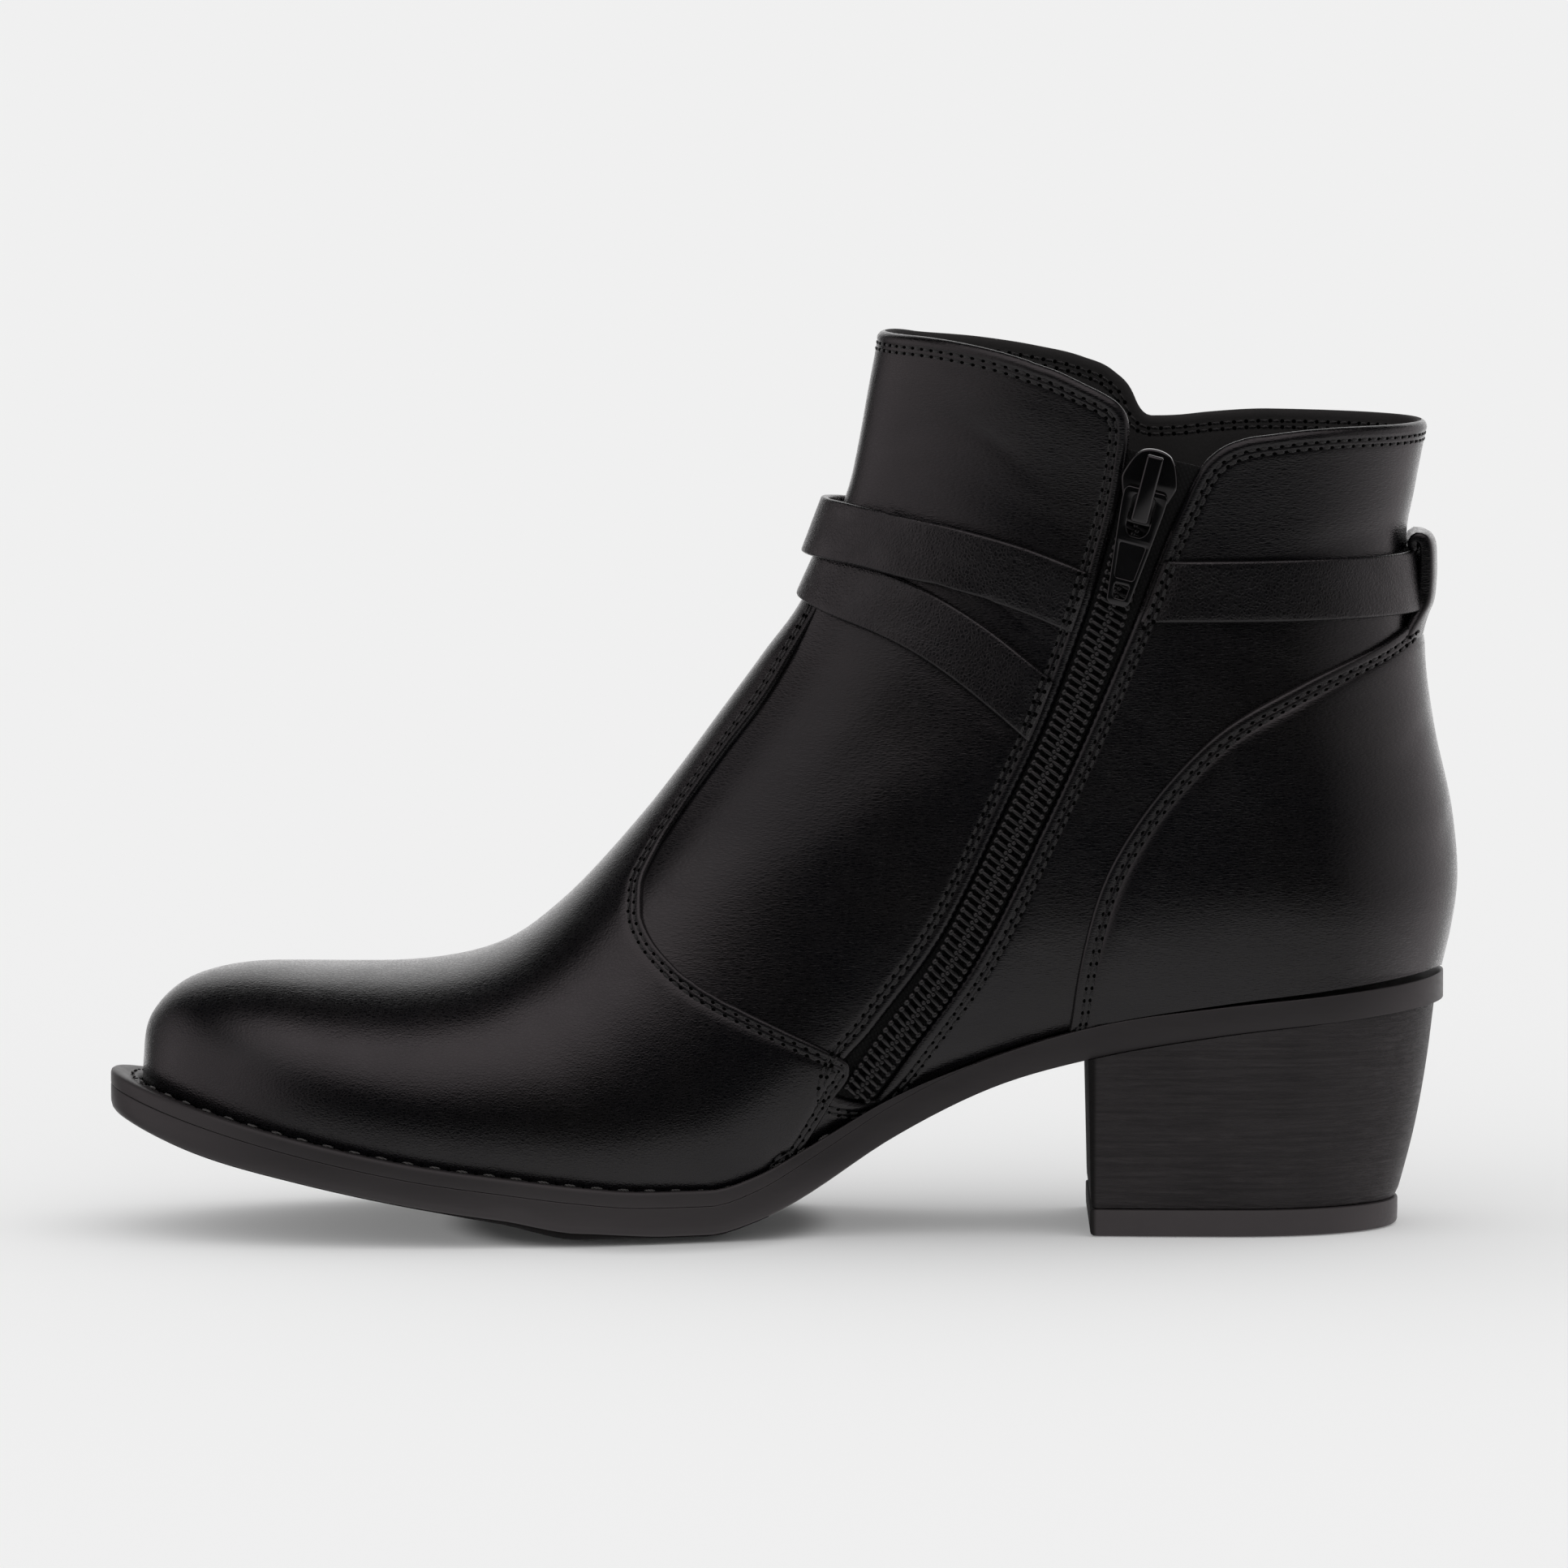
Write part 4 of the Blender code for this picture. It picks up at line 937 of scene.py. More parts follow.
def cutAt(places, end):
    # steps from a strap's end to where it clears the slot
    if end is None:
        return 0.0
    pairs, sign = slotSides[end]
    heights, edge = zip(*pairs)
    gap = (places[:, 0] - np.interp(places[:, 2], heights, edge)) * sign - straps["toSlot"]
    gap[places[:, 1] > 0] = straps["clear"]
    short = np.flatnonzero(gap[: len(gap) // 3] <= 0)
    if not len(short):
        return 0.0
    stop = short[-1]
    return stop - gap[stop] / max(gap[stop + 1] - gap[stop], 1e-6)


def closeEnds(grid, *shares):
    # a tube's grid with both ends drawn in to their middle
    core = grid.mean(axis=1, keepdims=True)
    drawn = [core + (grid - core) * share for share in (0.0, *shares)]
    return np.concatenate([*(d[:1] for d in drawn), grid, *(d[-1:] for d in drawn[::-1])])


def makeStrap(name, node, table, ends):
    # ends name the slot edge that each end is cut along, or None for a plain end
    angleAt, heightAt, liftAt = tableCurves(table)
    at = np.linspace(0, len(table) - 1, straps["points"])
    turns = math.pi + np.radians(angleAt(at))
    spots = [ringSpot(straps["axisX"], turn, z) for turn, z in zip(turns, heightAt(at))]
    line = evenLine(np.column_stack([lastAt(*np.array(spots).T), liftAt(at)]), straps["step"])
    middle, count = line[:, :3], len(line)
    ahead = unit(np.gradient(middle, axis=0))
    normal = np.array([lastNormal(*nearSpot(p)) for p in middle])
    across = unit(np.cross(normal, ahead)) * straps["width"] / 2
    lanes = {}
    for share in sorted({s for s, _ in straps["ring"]}):
        spots = np.array([nearSpot(p) for p in middle + across * share]).T
        places = lastAt(*spots)
        first, final = cutAt(places, ends[0]), count - 1 - cutAt(places[::-1], ends[1])
        go = np.linspace(first, final, count)
        lane = np.column_stack([places, lastNormal(*spots), line[:, 3]])
        lane = np.stack([np.interp(go, range(count), column) for column in lane.T], axis=1)
        lanes[share] = lane[:, :3], unit(lane[:, 3:6]), lane[:, 6]
    run = np.arange(count) * straps["step"]
    taper = np.ones(count)
    for end, way in zip(ends, (run, run[::-1])):
        if end:
            taper = np.minimum(taper, ramp(way, 0.0, straps["taper"]))
    grid = []
    for share, level in straps["ring"]:
        places, out, lift = lanes[share]
        rise = (lift + level * straps["thick"]) * (1 + taper) / 2
        grid.append(places + out * rise[:, None])
    patch = Patch()
    patch.addGrid(closeEnds(np.array(grid).transpose(1, 0, 2), straps["roundEnd"]), loop=True)
    return dress(patch.build(name, [strapLeather], closed=True), [node])


wrapStrap = makeStrap("wrapStrap", "wrap_strap", straps["wrap"], ("front", "rear"))
crossStrap = makeStrap("crossStrap", "cross_strap", straps["cross"], ("front", None))
print("straps ready")

backLoop = {
    "line": [  # x, z, half width, thickness
        (118.7, 105.5, 15.0, 0.3), (118.9, 109.7, 13.0, 1.0), (119.2, 112.8, 10.8, 1.7),
        (119.7, 115.2, 8.8, 2.2), (120.4, 117.4, 7.7, 2.5), (120.8, 121.0, 7.5, 2.5),
        (120.9, 125.2, 7.5, 2.4), (120.8, 127.6, 7.5, 2.3), (120.2, 128.9, 7.5, 2.2),
        (119.2, 129.2, 7.4, 2.1), (118.4, 128.6, 7.3, 2.0), (118.3, 127.5, 7.2, 2.0),
        (119.0, 126.8, 7.2, 1.4),
    ],
    "step": 0.6, "curve": 0.021,  # round the shaft
}


def makeBackLoop():
    table = np.array(backLoop["line"])
    line, run = evenLine(table[:, :2], backLoop["step"]), runLength(table[:, :2])
    share = np.linspace(0, 1, len(line))
    half, thick = (smoothCurve(run / run[-1], column)(share) for column in table[:, 2:].T)
    grid = []
    for (x, z), (goX, goZ), wide, deep in zip(line, unit(np.gradient(line, axis=0)), half, thick):
        ring = []
        for side, level in straps["ring"]:
            y, push = side * wide, (level - 0.5) * deep
            ring.append((x + goZ * push - backLoop["curve"] * y * y, y, z - goX * push))
        grid.append(ring)
    patch = Patch()
    patch.addGrid(closeEnds(np.array(grid)), loop=True)
    return dress(patch.build("backLoop", [quarterLeather], closed=True), ["back_loop"])


loopPiece = makeBackLoop()


def footLine(steps, reach):
    # lower edge of the upper in plan, moved out by a distance: inner side and outer side, toe to heel
    rows = easeSteps(steps) * last["heelRow"]
    inner, outer = lastAt(rows, 0.0)[:, :2], lastAt(rows, 2.0)[:, :2]
    loop = np.concatenate([inner, outer[-2:0:-1]])
    ahead = unit(np.roll(loop, -1, axis=0) - np.roll(loop, 1, axis=0))
    out = np.stack([ahead[:, 1], -ahead[:, 0]], axis=1)
    out *= -np.sign(out[0, 0])
    moved = loop + out * np.asarray(reach(loop[:, 0])).reshape(-1, 1)
    return moved[: steps + 1], np.concatenate([moved[:1], moved[: steps - 1: -1]])


welt = {
    "steps": 260, "wall": 1.75, "endX": 36.0, "least": 0.08,
    "ring": [  # share from the upper out to the edge, share of the thickness
        (0.0, 0.12), (0.02, 0.7), (0.08, 0.93), (0.2, 0.98), (0.32, 0.9), (0.44, 0.9), (0.56, 0.99),
        (0.78, 1.0), (0.9, 0.95), (0.97, 0.84), (1.0, 0.66), (1.0, 0.1), (0.995, 0.045), (0.975, 0.02),
        (0.5, 0.02),
    ],
    "stitch": 0.26, "pitch": 5.1, "sewnX": 8.0,  # where the stitches lie across it, and how far back
}


def weltLines():
    # the welt's two sides, each from the upper's foot out to the edge
    wall = footLine(welt["steps"], lambda x: np.full_like(x, welt["wall"]))
    return list(zip(wall, footLine(welt["steps"], soleReach)))


def makeWelt():
    sides = weltLines()
    count = int((sides[0][1][:, 0] < welt["endX"]).sum())
    grid = []
    for (wall, edge), run in zip(sides, (range(count - 1, -1, -1), range(1, count))):
        for i in run:
            ring = []
            for share, level in welt["ring"]:
                x, y = wall[i] + (edge[i] - wall[i]) * share
                ring.append((x, y, shelfAt(x) + max(float(soleWelt(x)), welt["least"]) * level))
            grid.append(ring)
    patch = Patch()
    patch.addGrid(np.array(grid), loop=True, capped=True)
    return dress(patch.build("weltStrip", [soleRubber], closed=True), ["welt"])


outsole = {
    "steps": 220,
    "layers": [  # in from the edge, share of the height, millimetres added, share of the tread's crown
        (1.1, 1.0, 0.0, 0.0), (0.2, 1.0, -0.01, 0.0), (0.06, 1.0, -0.06, 0.0), (0.0, 1.0, -0.22, 0.0),
        (0.0, 0.5, 0.0, 0.0), (0.04, 0.0, 1.6, 1.0), (0.3, 0.0, 0.75, 1.0), (0.8, 0.0, 0.28, 0.97),
        (1.5, 0.0, 0.06, 0.93), (2.4, 0.0, 0.0, 0.84), (4.5, 0.0, 0.0, 0.6), (7.5, 0.0, 0.0, 0.28),
        (10.5, 0.0, 0.0, 0.07), (14.0, 0.0, 0.0, 0.0),
    ],
    "crown": [  # along the boot, how far the tread's edge rises off the floor
        (-126, 0.1), (-100, 0.3), (-74, 0.75), (-60, 1.3), (-49, 1.95), (-41, 2.3), (-36, 2.15), (-30, 1.7),
        (-22, 1.2), (-14, 1.2), (-10, 1.1), (-3, 0.5), (5, 0.0), (130, 0.0),
    ],
    "wall": 4, "across": 8,  # the layer half way up its edge, and steps across it
    "seat": (2.0, 30.0, 0.12),  # sharper from the arch back
    "gap": (62.0, 122.0, 0.9),  # open above it at the back
    "treadFacing": -0.85,
}
treadCrown, = tableCurves(outsole["crown"], True)


def makeOutsole():
    steps, layers, wall = outsole["steps"], outsole["layers"], outsole["wall"]
    start, end, least = outsole["seat"]
    low, high, gap = outsole["gap"]

    def lip(x):
        return 1 - (1 - least) * ramp(x, start, end)

    sides = []
    for layer, (inward, _, _, _) in enumerate(layers):
        sides.append(footLine(steps, lambda x: soleReach(x) - inward * (lip(x) if layer > wall else 1.0)))

    def height(x, layer):
        _, share, extra, crown = layers[layer]
        if layer > wall:
            extra = extra * lip(x) + crown * treadCrown(x)
        elif layer < wall:
            extra = extra - gap * ramp(x, low, high)
        return float(soleBottom(x) + (shelfAt(x) - soleBottom(x)) * share + extra)

    def across(layer, i, shares):
        # points of one layer from its inner side to its outer side
        inner, outer = sides[layer][0][i], sides[layer][1][i]
        places = [inner * (1 - k) + outer * k for k in shares]
        return [(x, y, height(x, layer)) for x, y in places]

    final, shares = len(layers) - 1, np.linspace(0, 1, outsole["across"] + 1)
    grid = []
    for i in range(steps + 1):
        ring = across(0, i, shares)
        for layer in range(1, final):
            ring += across(layer, i, [1.0])
        ring += across(final, i, shares[::-1])
        for layer in range(final - 1, 0, -1):
            ring += across(layer, i, [0.0])
        grid.append(ring)
    patch = Patch()
    patch.addGrid(np.array(grid), loop=True)
    piece = patch.build("outsoleRubber", [soleRubber, treadShadeRubber], closed=True)
    # faces turned to the floor take the darker tread: painted shade on the underside
    for face in piece.data.polygons:
        face.material_index = int(face.normal.z < outsole["treadFacing"])
    return dress(piece, ["outsole"])


makeWelt()
makeOutsole()

insole = {
    "steps": 120, "inset": 2.75,
    "layers": [(0.2, 0.5), (0.0, 1.4), (0.1, 2.5), (0.6, 3.2), (1.6, 3.45)],  # in from the inset, up
    "across": 8, "cup": 1.2, "cupFrom": 40.0, "cupFull": 80.0,
}


def makeInsole():
    layers = []
    for inward, rise in insole["layers"]:
        sides = footLine(insole["steps"], lambda x: np.full_like(x, -insole["inset"] - inward))
        layers.append((*sides, rise))
    inner, outer, rise = layers[-1]
    grid = []
    for i in range(insole["steps"] + 1):
        ring = [(*side[i], shelfAt(side[i][0]) + up) for side, _, up in layers]
        for k in np.linspace(0, 1, insole["across"] + 1)[1:-1]:
            x, y = inner[i] * (1 - k) + outer[i] * k
            cupped = np.clip((x - insole["cupFrom"]) / (insole["cupFull"] - insole["cupFrom"]), 0, 1)
            ring.append((x, y, shelfAt(x) + rise - insole["cup"] * math.sin(math.pi * k) * cupped))
        ring += [(*side[i], shelfAt(side[i][0]) + up) for _, side, up in layers[::-1]]
        grid.append(ring)
    patch = Patch()
    patch.addGrid(np.array(grid), loop=True)
    return dress(patch.build("insoleSock", [lining], closed=True), ["insole"])


makeInsole()

heel = {
    "rows": [  # share up, back, half width
        (0.0, 114.9, 25.8), (0.35, 118.2, 27.4), (0.7, 120.5, 29.2), (1.0, 121.9, 30.8),
    ],
    "lift": [  # height of each ring of the top lift, and how far out it stands
        (0.0, -0.9), (0.1, -0.4), (0.4, 0.0), (0.9, 0.15), (2.6, 0.2), (4.7, 0.2), (4.95, 0.1), (5.08, -0.2),
        (5.12, -1.2),
    ],
    "breastX": 57.2, "draft": 0.6, "turn": 30.0, "narrow": 0.05, "corner": 0.8, "cornerPoints": 6,
    "points": 46, "levels": 26, "low": 5.3, "top": 0.02, "sharp": 40.0,
    "foot": (0.35, 60.0),  # how far it is drawn in at its foot, and how fast that ends
}
heelBack, heelHalf = tableCurves(heel["rows"], True)


def heelPlan(share, grow=0.0):
    back, half = float(heelBack(share)) + grow, float(heelHalf(share)) + grow
    breast = heel["breastX"] - heel["draft"] * share - grow
    corner = heel["corner"]
    x = breast + corner + (back - breast - corner) * np.sin(np.linspace(0, math.pi / 2, heel["points"]))
    turn = np.clip((x - (back - heel["turn"])) / heel["turn"], 0, 1)
    ahead = np.clip((back - heel["turn"] - x) / (back - heel["turn"] - breast), 0, 1)
    y = half * (1 - heel["narrow"] * ahead**2) * np.sqrt(1 - turn ** last["turnPower"])
    bend = np.linspace(math.pi, 1.5 * math.pi, heel["cornerPoints"])[:-1]
    arc = np.stack(
        [breast + corner + corner * np.cos(bend), -(y[0] - corner) + corner * np.sin(bend)], axis=1,
    )
    inner = np.concatenate([arc, np.stack([x, -y], axis=1)])
    return np.concatenate([inner, inner[-2::-1] * (1, -1)])


def stackPiece(name, finish, node, grid):
    patch = Patch()
    patch.addGrid(np.array(grid), loop=True, capped=True)
    piece = patch.build(name, [finish], closed=True)
    piece.data.set_sharp_from_angle(angle=math.radians(heel["sharp"]))
    return dress(piece, [node])


def makeHeel():
    drawn, fade = heel["foot"]
    grid = []
    for share in np.linspace(0, 1, heel["levels"]):
        plan = heelPlan(share, -drawn * math.exp(-share * fade))
        top = soleBottom(plan[:, 0]) - heel["top"]
        grid.append([(x, y, heel["low"] + (high - heel["low"]) * share) for (x, y), high in zip(plan, top)])
    stackPiece("heelBlock", stackedHeel, "heel_block", grid)
    grid = [[(x, y, z) for x, y in heelPlan(0.0, grow)] for z, grow in heel["lift"]]
    stackPiece("topLift", liftRubber, "top_lift", grid)


makeHeel()
print("sole and heel ready")

zipper = {
    "rows": [  # x, z, slot to the front, slot to the rear
        (9.2, 20.9, 4.3, 4.3), (13.6, 27.2, 4.3, 4.3), (20.2, 36.6, 4.3, 4.3), (31.2, 52.0, 4.3, 4.3),
        (45.0, 79.8, 4.4, 4.4), (52.0, 94.7, 4.7, 4.7), (57.6, 108.9, 5.3, 5.3), (60.8, 118.0, 5.8, 5.8),
        (63.6, 127.0, 6.2, 6.2), (66.0, 135.0, 6.7, 6.7), (68.2, 143.3, 7.1, 8.8), (69.8, 150.0, 7.7, 13.5),
    ],
    "tape": (0.45, 10.4), "tapeRise": -1.25, "tapeSink": 0.25, "tapeThick": 0.5, "spare": 0.8,
    "tapePoints": 130, "tapeAcross": 17, "coil": (0.95, 9.55), "coilRise": -0.05, "pitch": 1.6, "lean": 0.22,
    "tooth": [  # length and place of each bead in half widths, share of the wire's width and height
        (1.24, -0.42, 1.0, 1.0), (0.34, 0.08, 1.3, 1.12), (0.36, -0.86, 1.55, 1.0),
    ],
    "toothSize": {"Half": 0.0034, "Wire": 0.00098, "Rise": 0.0015},
}
zipX, zipZ, zipFront, zipRear = tableCurves(zipper["rows"])


def zipFrame(at):
    # middle of the zip in side view, the way along it and the way across it
    at, step = np.asarray(at, float), 0.05
    middle = np.stack([zipX(at), zipZ(at)], axis=1)
    ahead = unit(np.stack([zipX(at + step) - zipX(at - step), zipZ(at + step) - zipZ(at - step)], axis=1))
    return middle, ahead, np.stack([ahead[:, 1], -ahead[:, 0]], axis=1)


def makeTapeRibbon():
    at = np.linspace(*zipper["tape"], zipper["tapePoints"])
    middle, _, across = zipFrame(at)
    grid = []
    for (x, z), (goX, goZ), front, rear in zip(middle, across, zipFront(at), zipRear(at)):
        line = []
        for share in np.linspace(-1, 1, zipper["tapeAcross"]):
            wide = (front if share < 0 else rear) + zipper["spare"]
            spot = sideSpot(x + goX * wide * share, z + goZ * wide * share, -1)
            rise = zipper["tapeRise"] - zipper["tapeSink"] * abs(share) ** 3
            line.append(lastAt(*spot) + lastNormal(*spot) * rise)
        grid.append(line)
    grid = np.array(grid)
    under = grid + np.array([0, zipper["tapeThick"], 0])
    patch = Patch()
    patch.addGrid(np.concatenate([grid, under[:, ::-1]], axis=1), loop=True, capped=True)
    return dress(patch.build("zipTape", [tapeCloth], closed=True), ["zip_tape"])


makeTapeRibbon()


class NodeNet:
    # a geometry node tree with named inputs
    def __init__(self, name, inputs):
        self.tree = bpy.data.node_groups.new(name, "GeometryNodeTree")
        self.tree.interface.new_socket("Points", in_out="INPUT", socket_type="NodeSocketGeometry")
        for key in inputs:
            self.tree.interface.new_socket(key, in_out="INPUT", socket_type="NodeSocketFloat")
        self.tree.interface.new_socket("Mesh", in_out="OUTPUT", socket_type="NodeSocketGeometry")
        self.start = self.tree.nodes.new("NodeGroupInput")
        self.end = self.tree.nodes.new("NodeGroupOutput")

    def node(self, kind, settings=None, inputs=None):
        made = self.tree.nodes.new(kind)
        for key, value in (settings or {}).items():
            setattr(made, key, value)
        for key, value in (inputs or {}).items():
            if isinstance(value, bpy.types.NodeSocket):
                self.tree.links.new(value, made.inputs[key])
            else:
                made.inputs[key].default_value = value
        return made

    def given(self, key, share=1.0):
        value = self.start.outputs[key]
        if share == 1.0:
            return value
        return self.node("ShaderNodeMath", {"operation": "MULTIPLY"}, {0: value, 1: share}).outputs[0]

    def way(self, name):
        kind = {"data_type": "FLOAT_VECTOR"}
        return self.node("GeometryNodeInputNamedAttribute", kind, {"Name": name}).outputs[0]

    def size(self, x, y, z):
        return self.node("ShaderNodeCombineXYZ", None, {"X": x, "Y": y, "Z": z}).outputs[0]

    def bead(self, rings, size, shift, finish):
        # one rounded bead on every point, turned along the run, as plain mesh with its finish
        ball = {"Segments": 8, "Rings": rings, "Radius": 0.5}
        grain = self.node("GeometryNodeMeshUVSphere", None, ball).outputs[0]
        placed = {0: grain, "Translation": self.size(shift, 0.0, 0.0), "Scale": self.size(*size)}
        grain = self.node("GeometryNodeTransform", None, placed).outputs[0]
        shape = self.node("GeometryNodeSetShadeSmooth", None, {0: grain}).outputs[0]
        turned = self.node(
            "FunctionNodeAxesToRotation", {"primary_axis": "X", "secondary_axis": "Z"},
            {"Primary Axis": self.way("along"), "Secondary Axis": self.way("out")},
        ).outputs[0]
        spread = {"Points": self.given("Points"), "Instance": shape, "Rotation": turned}
        put = self.node("GeometryNodeInstanceOnPoints", None, spread).outputs[0]
        real = self.node("GeometryNodeRealizeInstances", None, {0: put}).outputs[0]
        return self.node("GeometryNodeSetMaterial", None, {0: real, "Material": finish}).outputs[0]

    def finish(self, *parts):
        joined = self.node("GeometryNodeJoinGeometry")
        for part in parts:
            self.tree.links.new(part, joined.inputs[0])
        self.tree.links.new(joined.outputs[0], self.end.inputs[0])
        return self.tree


def runNodes(name, tree, runs, values):
    # the tree's beads along runs of places, ways and outward directions
    places, ways, outs = (np.concatenate(part) for part in zip(*runs))
    mesh = bpy.data.meshes.new(name + "Points")
    mesh.from_pydata((places * mm).tolist(), [], [])
    for key, vectors in (("along", ways), ("out", outs)):
        mesh.attributes.new(key, "FLOAT_VECTOR", "POINT").data.foreach_set("vector", vectors.ravel())
    holder = addPiece(name + "Points", mesh)
    step = holder.modifiers.new("run", "NODES")
    step.node_group = tree
    for item in tree.interface.items_tree:
        if item.in_out == "INPUT" and item.name in values:
            step[item.identifier] = values[item.name]
    graph = bpy.context.evaluated_depsgraph_get()
    made = bpy.data.meshes.new_from_object(holder.evaluated_get(graph), depsgraph=graph)
    made.name = name
    bpy.data.objects.remove(holder)
    return addPiece(name, made)


stitches = {
    "leather": {"Length": 0.0016, "Thick": 0.00058, "Hole": 0.00085, "Step": 0.00118},
    "welt": {"Length": 0.0022, "Thick": 0.0005, "Hole": 0.0007, "Step": 0.00255},
    "flat": 0.35, "proud": 0.02, "probe": 7.0, "reach": 12.0,
    "liningDepth": 1.93, "liningLow": 146.6, "weltRise": 0.08,
}


def makeStitchTree(name, finish):
    net = NodeNet(name, stitches["leather"])
    thick, hole = net.given("Thick"), net.given("Hole")
    sewn = net.bead(6, (net.given("Length"), thick, thick), 0.0, finish)
    # beside each stitch, a dark disc as painted shade for its needle hole
    pricked = net.bead(5, (hole, hole, net.given("Hole", stitches["flat"])), net.given("Step"), needleHoleShade)
    return net.finish(sewn, pricked)


stitchTree = makeStitchTree("stitchRun", thread)


def meshTree(*pieces):
    # what a stitch can lie on, in millimetres
    points, faces = [], []
    for piece in pieces:
        start = len(points)
        points += [v.co / mm for v in piece.data.vertices]
        faces += [tuple(i + start for i in p.vertices) for p in piece.data.polygons]
    return BVHTree.FromPolygons(points, faces)


leatherTree = meshTree(upper, vampPiece, counterPiece, wrapStrap, crossStrap, loopPiece)


def stitchRun(edge, panel, k):
    # one of a panel's rows, laid on the leather; the second row is set off by half a stitch
    spots = edge.row(panel["stitches"][k]).T
    base, out = lastAt(*spots), lastNormal(*spots)
    axis, limit = panel["sewn"]
    line = np.column_stack([base, out])[base[:, axis] < limit]
    line = evenLine(line, panel["pitch"] / 2)[k::2]
    places, outs = line[:, :3], unit(line[:, 3:])
    found = []
    for place, out in zip(places, outs):
        start = Vector(place + out * stitches["probe"])
        hit = leatherTree.ray_cast(start, Vector(-out), stitches["reach"])[0]
        found.append(place if hit is None else np.array(hit))
    return np.array(found) + outs * stitches["proud"], unit(np.gradient(places, axis=0)), outs


def makeLeatherStitches():
    runs = []
    for panel, edges in ((rim, [rimEdge]), (vamp, vampEdges), (counter, counterEdges)):
        runs += [stitchRun(edge, panel, k) for edge in edges for k in range(len(panel["stitches"]))]
    dress(runNodes("leatherStitches", stitchTree, runs, stitches["leather"]))


def makeLiningStitches():
    # the rim's rows seen on the lining side of the collar
    runs = []
    for depth in rim["stitches"]:
        spots = rimEdge.row(depth).T
        base, out = lastAt(*spots), lastNormal(*spots)
        line = np.column_stack([base - out * stitches["liningDepth"], -out])
        low = np.flatnonzero((base[:, 2] <= stitches["liningLow"]) & (base[:, 1] <= 0))
        for part in (line[: low[0]], line[low[-1] + 1:]):
            part = evenLine(part, rim["pitch"])
            runs.append((part[:, :3], unit(np.gradient(part[:, :3], axis=0)), unit(part[:, 3:])))
    dress(runNodes("liningStitches", stitchTree, runs, stitches["leather"]))


def makeWeltStitches():
    runs = []
    for wall, edge in weltLines():
        line = wall + (edge - wall) * welt["stitch"]
        line = line[line[:, 0] < welt["sewnX"]]
        x = line[:, 0]
        height = shelfAt(x) + soleWelt(x) + stitches["weltRise"]
        line = evenLine(np.column_stack([line, height]), welt["pitch"])
        runs.append((line, unit(np.gradient(line, axis=0)), np.tile((0.0, 0.0, 1.0), (len(line), 1))))
    tree = makeStitchTree("weltRun", weltThread)
    dress(runNodes("weltStitches", tree, runs, stitches["welt"]))


makeLeatherStitches()
makeLiningStitches()
makeWeltStitches()
print("stitches ready")


def makeToothTree():
    # one turn of the coil: a bar from the edge to the middle, with a wider head there
    net = NodeNet("coilRun", zipper["toothSize"])
    beads = []
    for length, shift, wide, high in zipper["tooth"]:
        size = net.given("Half", length), net.given("Wire", wide), net.given("Rise", high)
        beads.append(net.bead(6, size, net.given("Half", shift), coilPlastic))
    return net.finish(*beads)


def makeCoilTeeth():
    dense = np.linspace(*zipper["coil"], 300)
    run, pitch = runLength(zipFrame(dense)[0]), zipper["pitch"]
    runs = []
    for side in (-1, 1):  # each side's turns lie between those of the other
        at = np.interp(np.arange(0, run[-1], pitch) + pitch / 4 * (1 + side), run, dense)
        middle, ahead, across = zipFrame(at)
        spots = np.array([sideSpot(x, z, -1) for x, z in middle]).T
        outs = lastNormal(*spots)
        ways = (ahead * zipper["lean"] - across) * side
        ways = np.insert(ways, 1, 0.0, axis=1)
        ways = unit(ways - outs * np.sum(ways * outs, axis=1, keepdims=True))
        runs.append((lastAt(*spots) + outs * zipper["coilRise"], ways, outs))
    piece = runNodes("zipCoil", makeToothTree(), runs, zipper["toothSize"])
    return dress(piece, ["zip_coil"])


makeCoilTeeth()
print("zip ready")

slider = {
    "plate": [
        (0.0, 6.5), (1.5, 6.35), (2.8, 5.8), (3.9, 4.5), (4.6, 2.8), (5.1, 1.2), (5.3, 0.2), (5.0, -1.0),
        (4.5, -2.4), (3.9, -4.2), (3.8, -8.0),
    ],
    "low": 1.3, "high": 2.5, "plateRound": 0.8, "plateTurn": 0.42,
    "flange": [(3.0, -7.6), (3.9, -7.6), (4.4, -2.6), (5.0, 0.0), (4.2, 0.6), (3.6, -2.4)],
    "flangeLow": -0.6, "flangeHigh": 1.6, "flangeRound": 0.3,
    "bridgeHalf": 1.55, "bridgeTop": 5.6, "bridgeUnder": 4.5, "bridgeSink": 0.4, "bridgeRound": 0.7,
    "bridgeTurn": 0.4, "nose": 5.7, "tail": -7.2, "post": 1.0,
    "tabSide": [(3.6, -1.0), (4.2, -1.8), (4.1, -4.5), (3.5, -10.5), (2.2, -22.6), (1.5, -23.4)],
    "tabRound": 1.1, "eye": [(2.15, -2.2), (2.15, -8.6), (1.2, -10.0)], "eyeRound": 1.2,
    "panel": [(2.45, -11.6), (1.75, -18.2)], "panelRound": 0.5, "panelDeep": 0.3,
    "slot": [(1.35, -19.4), (1.1, -22.0)], "slotRound": 0.4,
    "pivot": (-1.6, 3.4), "tabThick": 1.2, "tabTurns": (0.25, 0.26), "overlap": 0.1, "sharp": 38.0,
}


def sliderFrame():
    # across, along the zip, and out, at the tab's hinge
    joint = frame["joints"][0]
    across = -Vector(joint["axis"]).normalized()
    pivot = Vector(joint["pos_m"])
    out = Vector(lastNormal(*nearSpot(pivot / mm)))
    out = (out - across * out.dot(across)).normalized()
    turned = Matrix((across, out.cross(across), out)).transposed().to_4x4()
    turned.translation = pivot
    return turned


def mirrored(outline):
    return [*outline, *[(-x, y) for x, y in reversed(outline) if x > 0]]


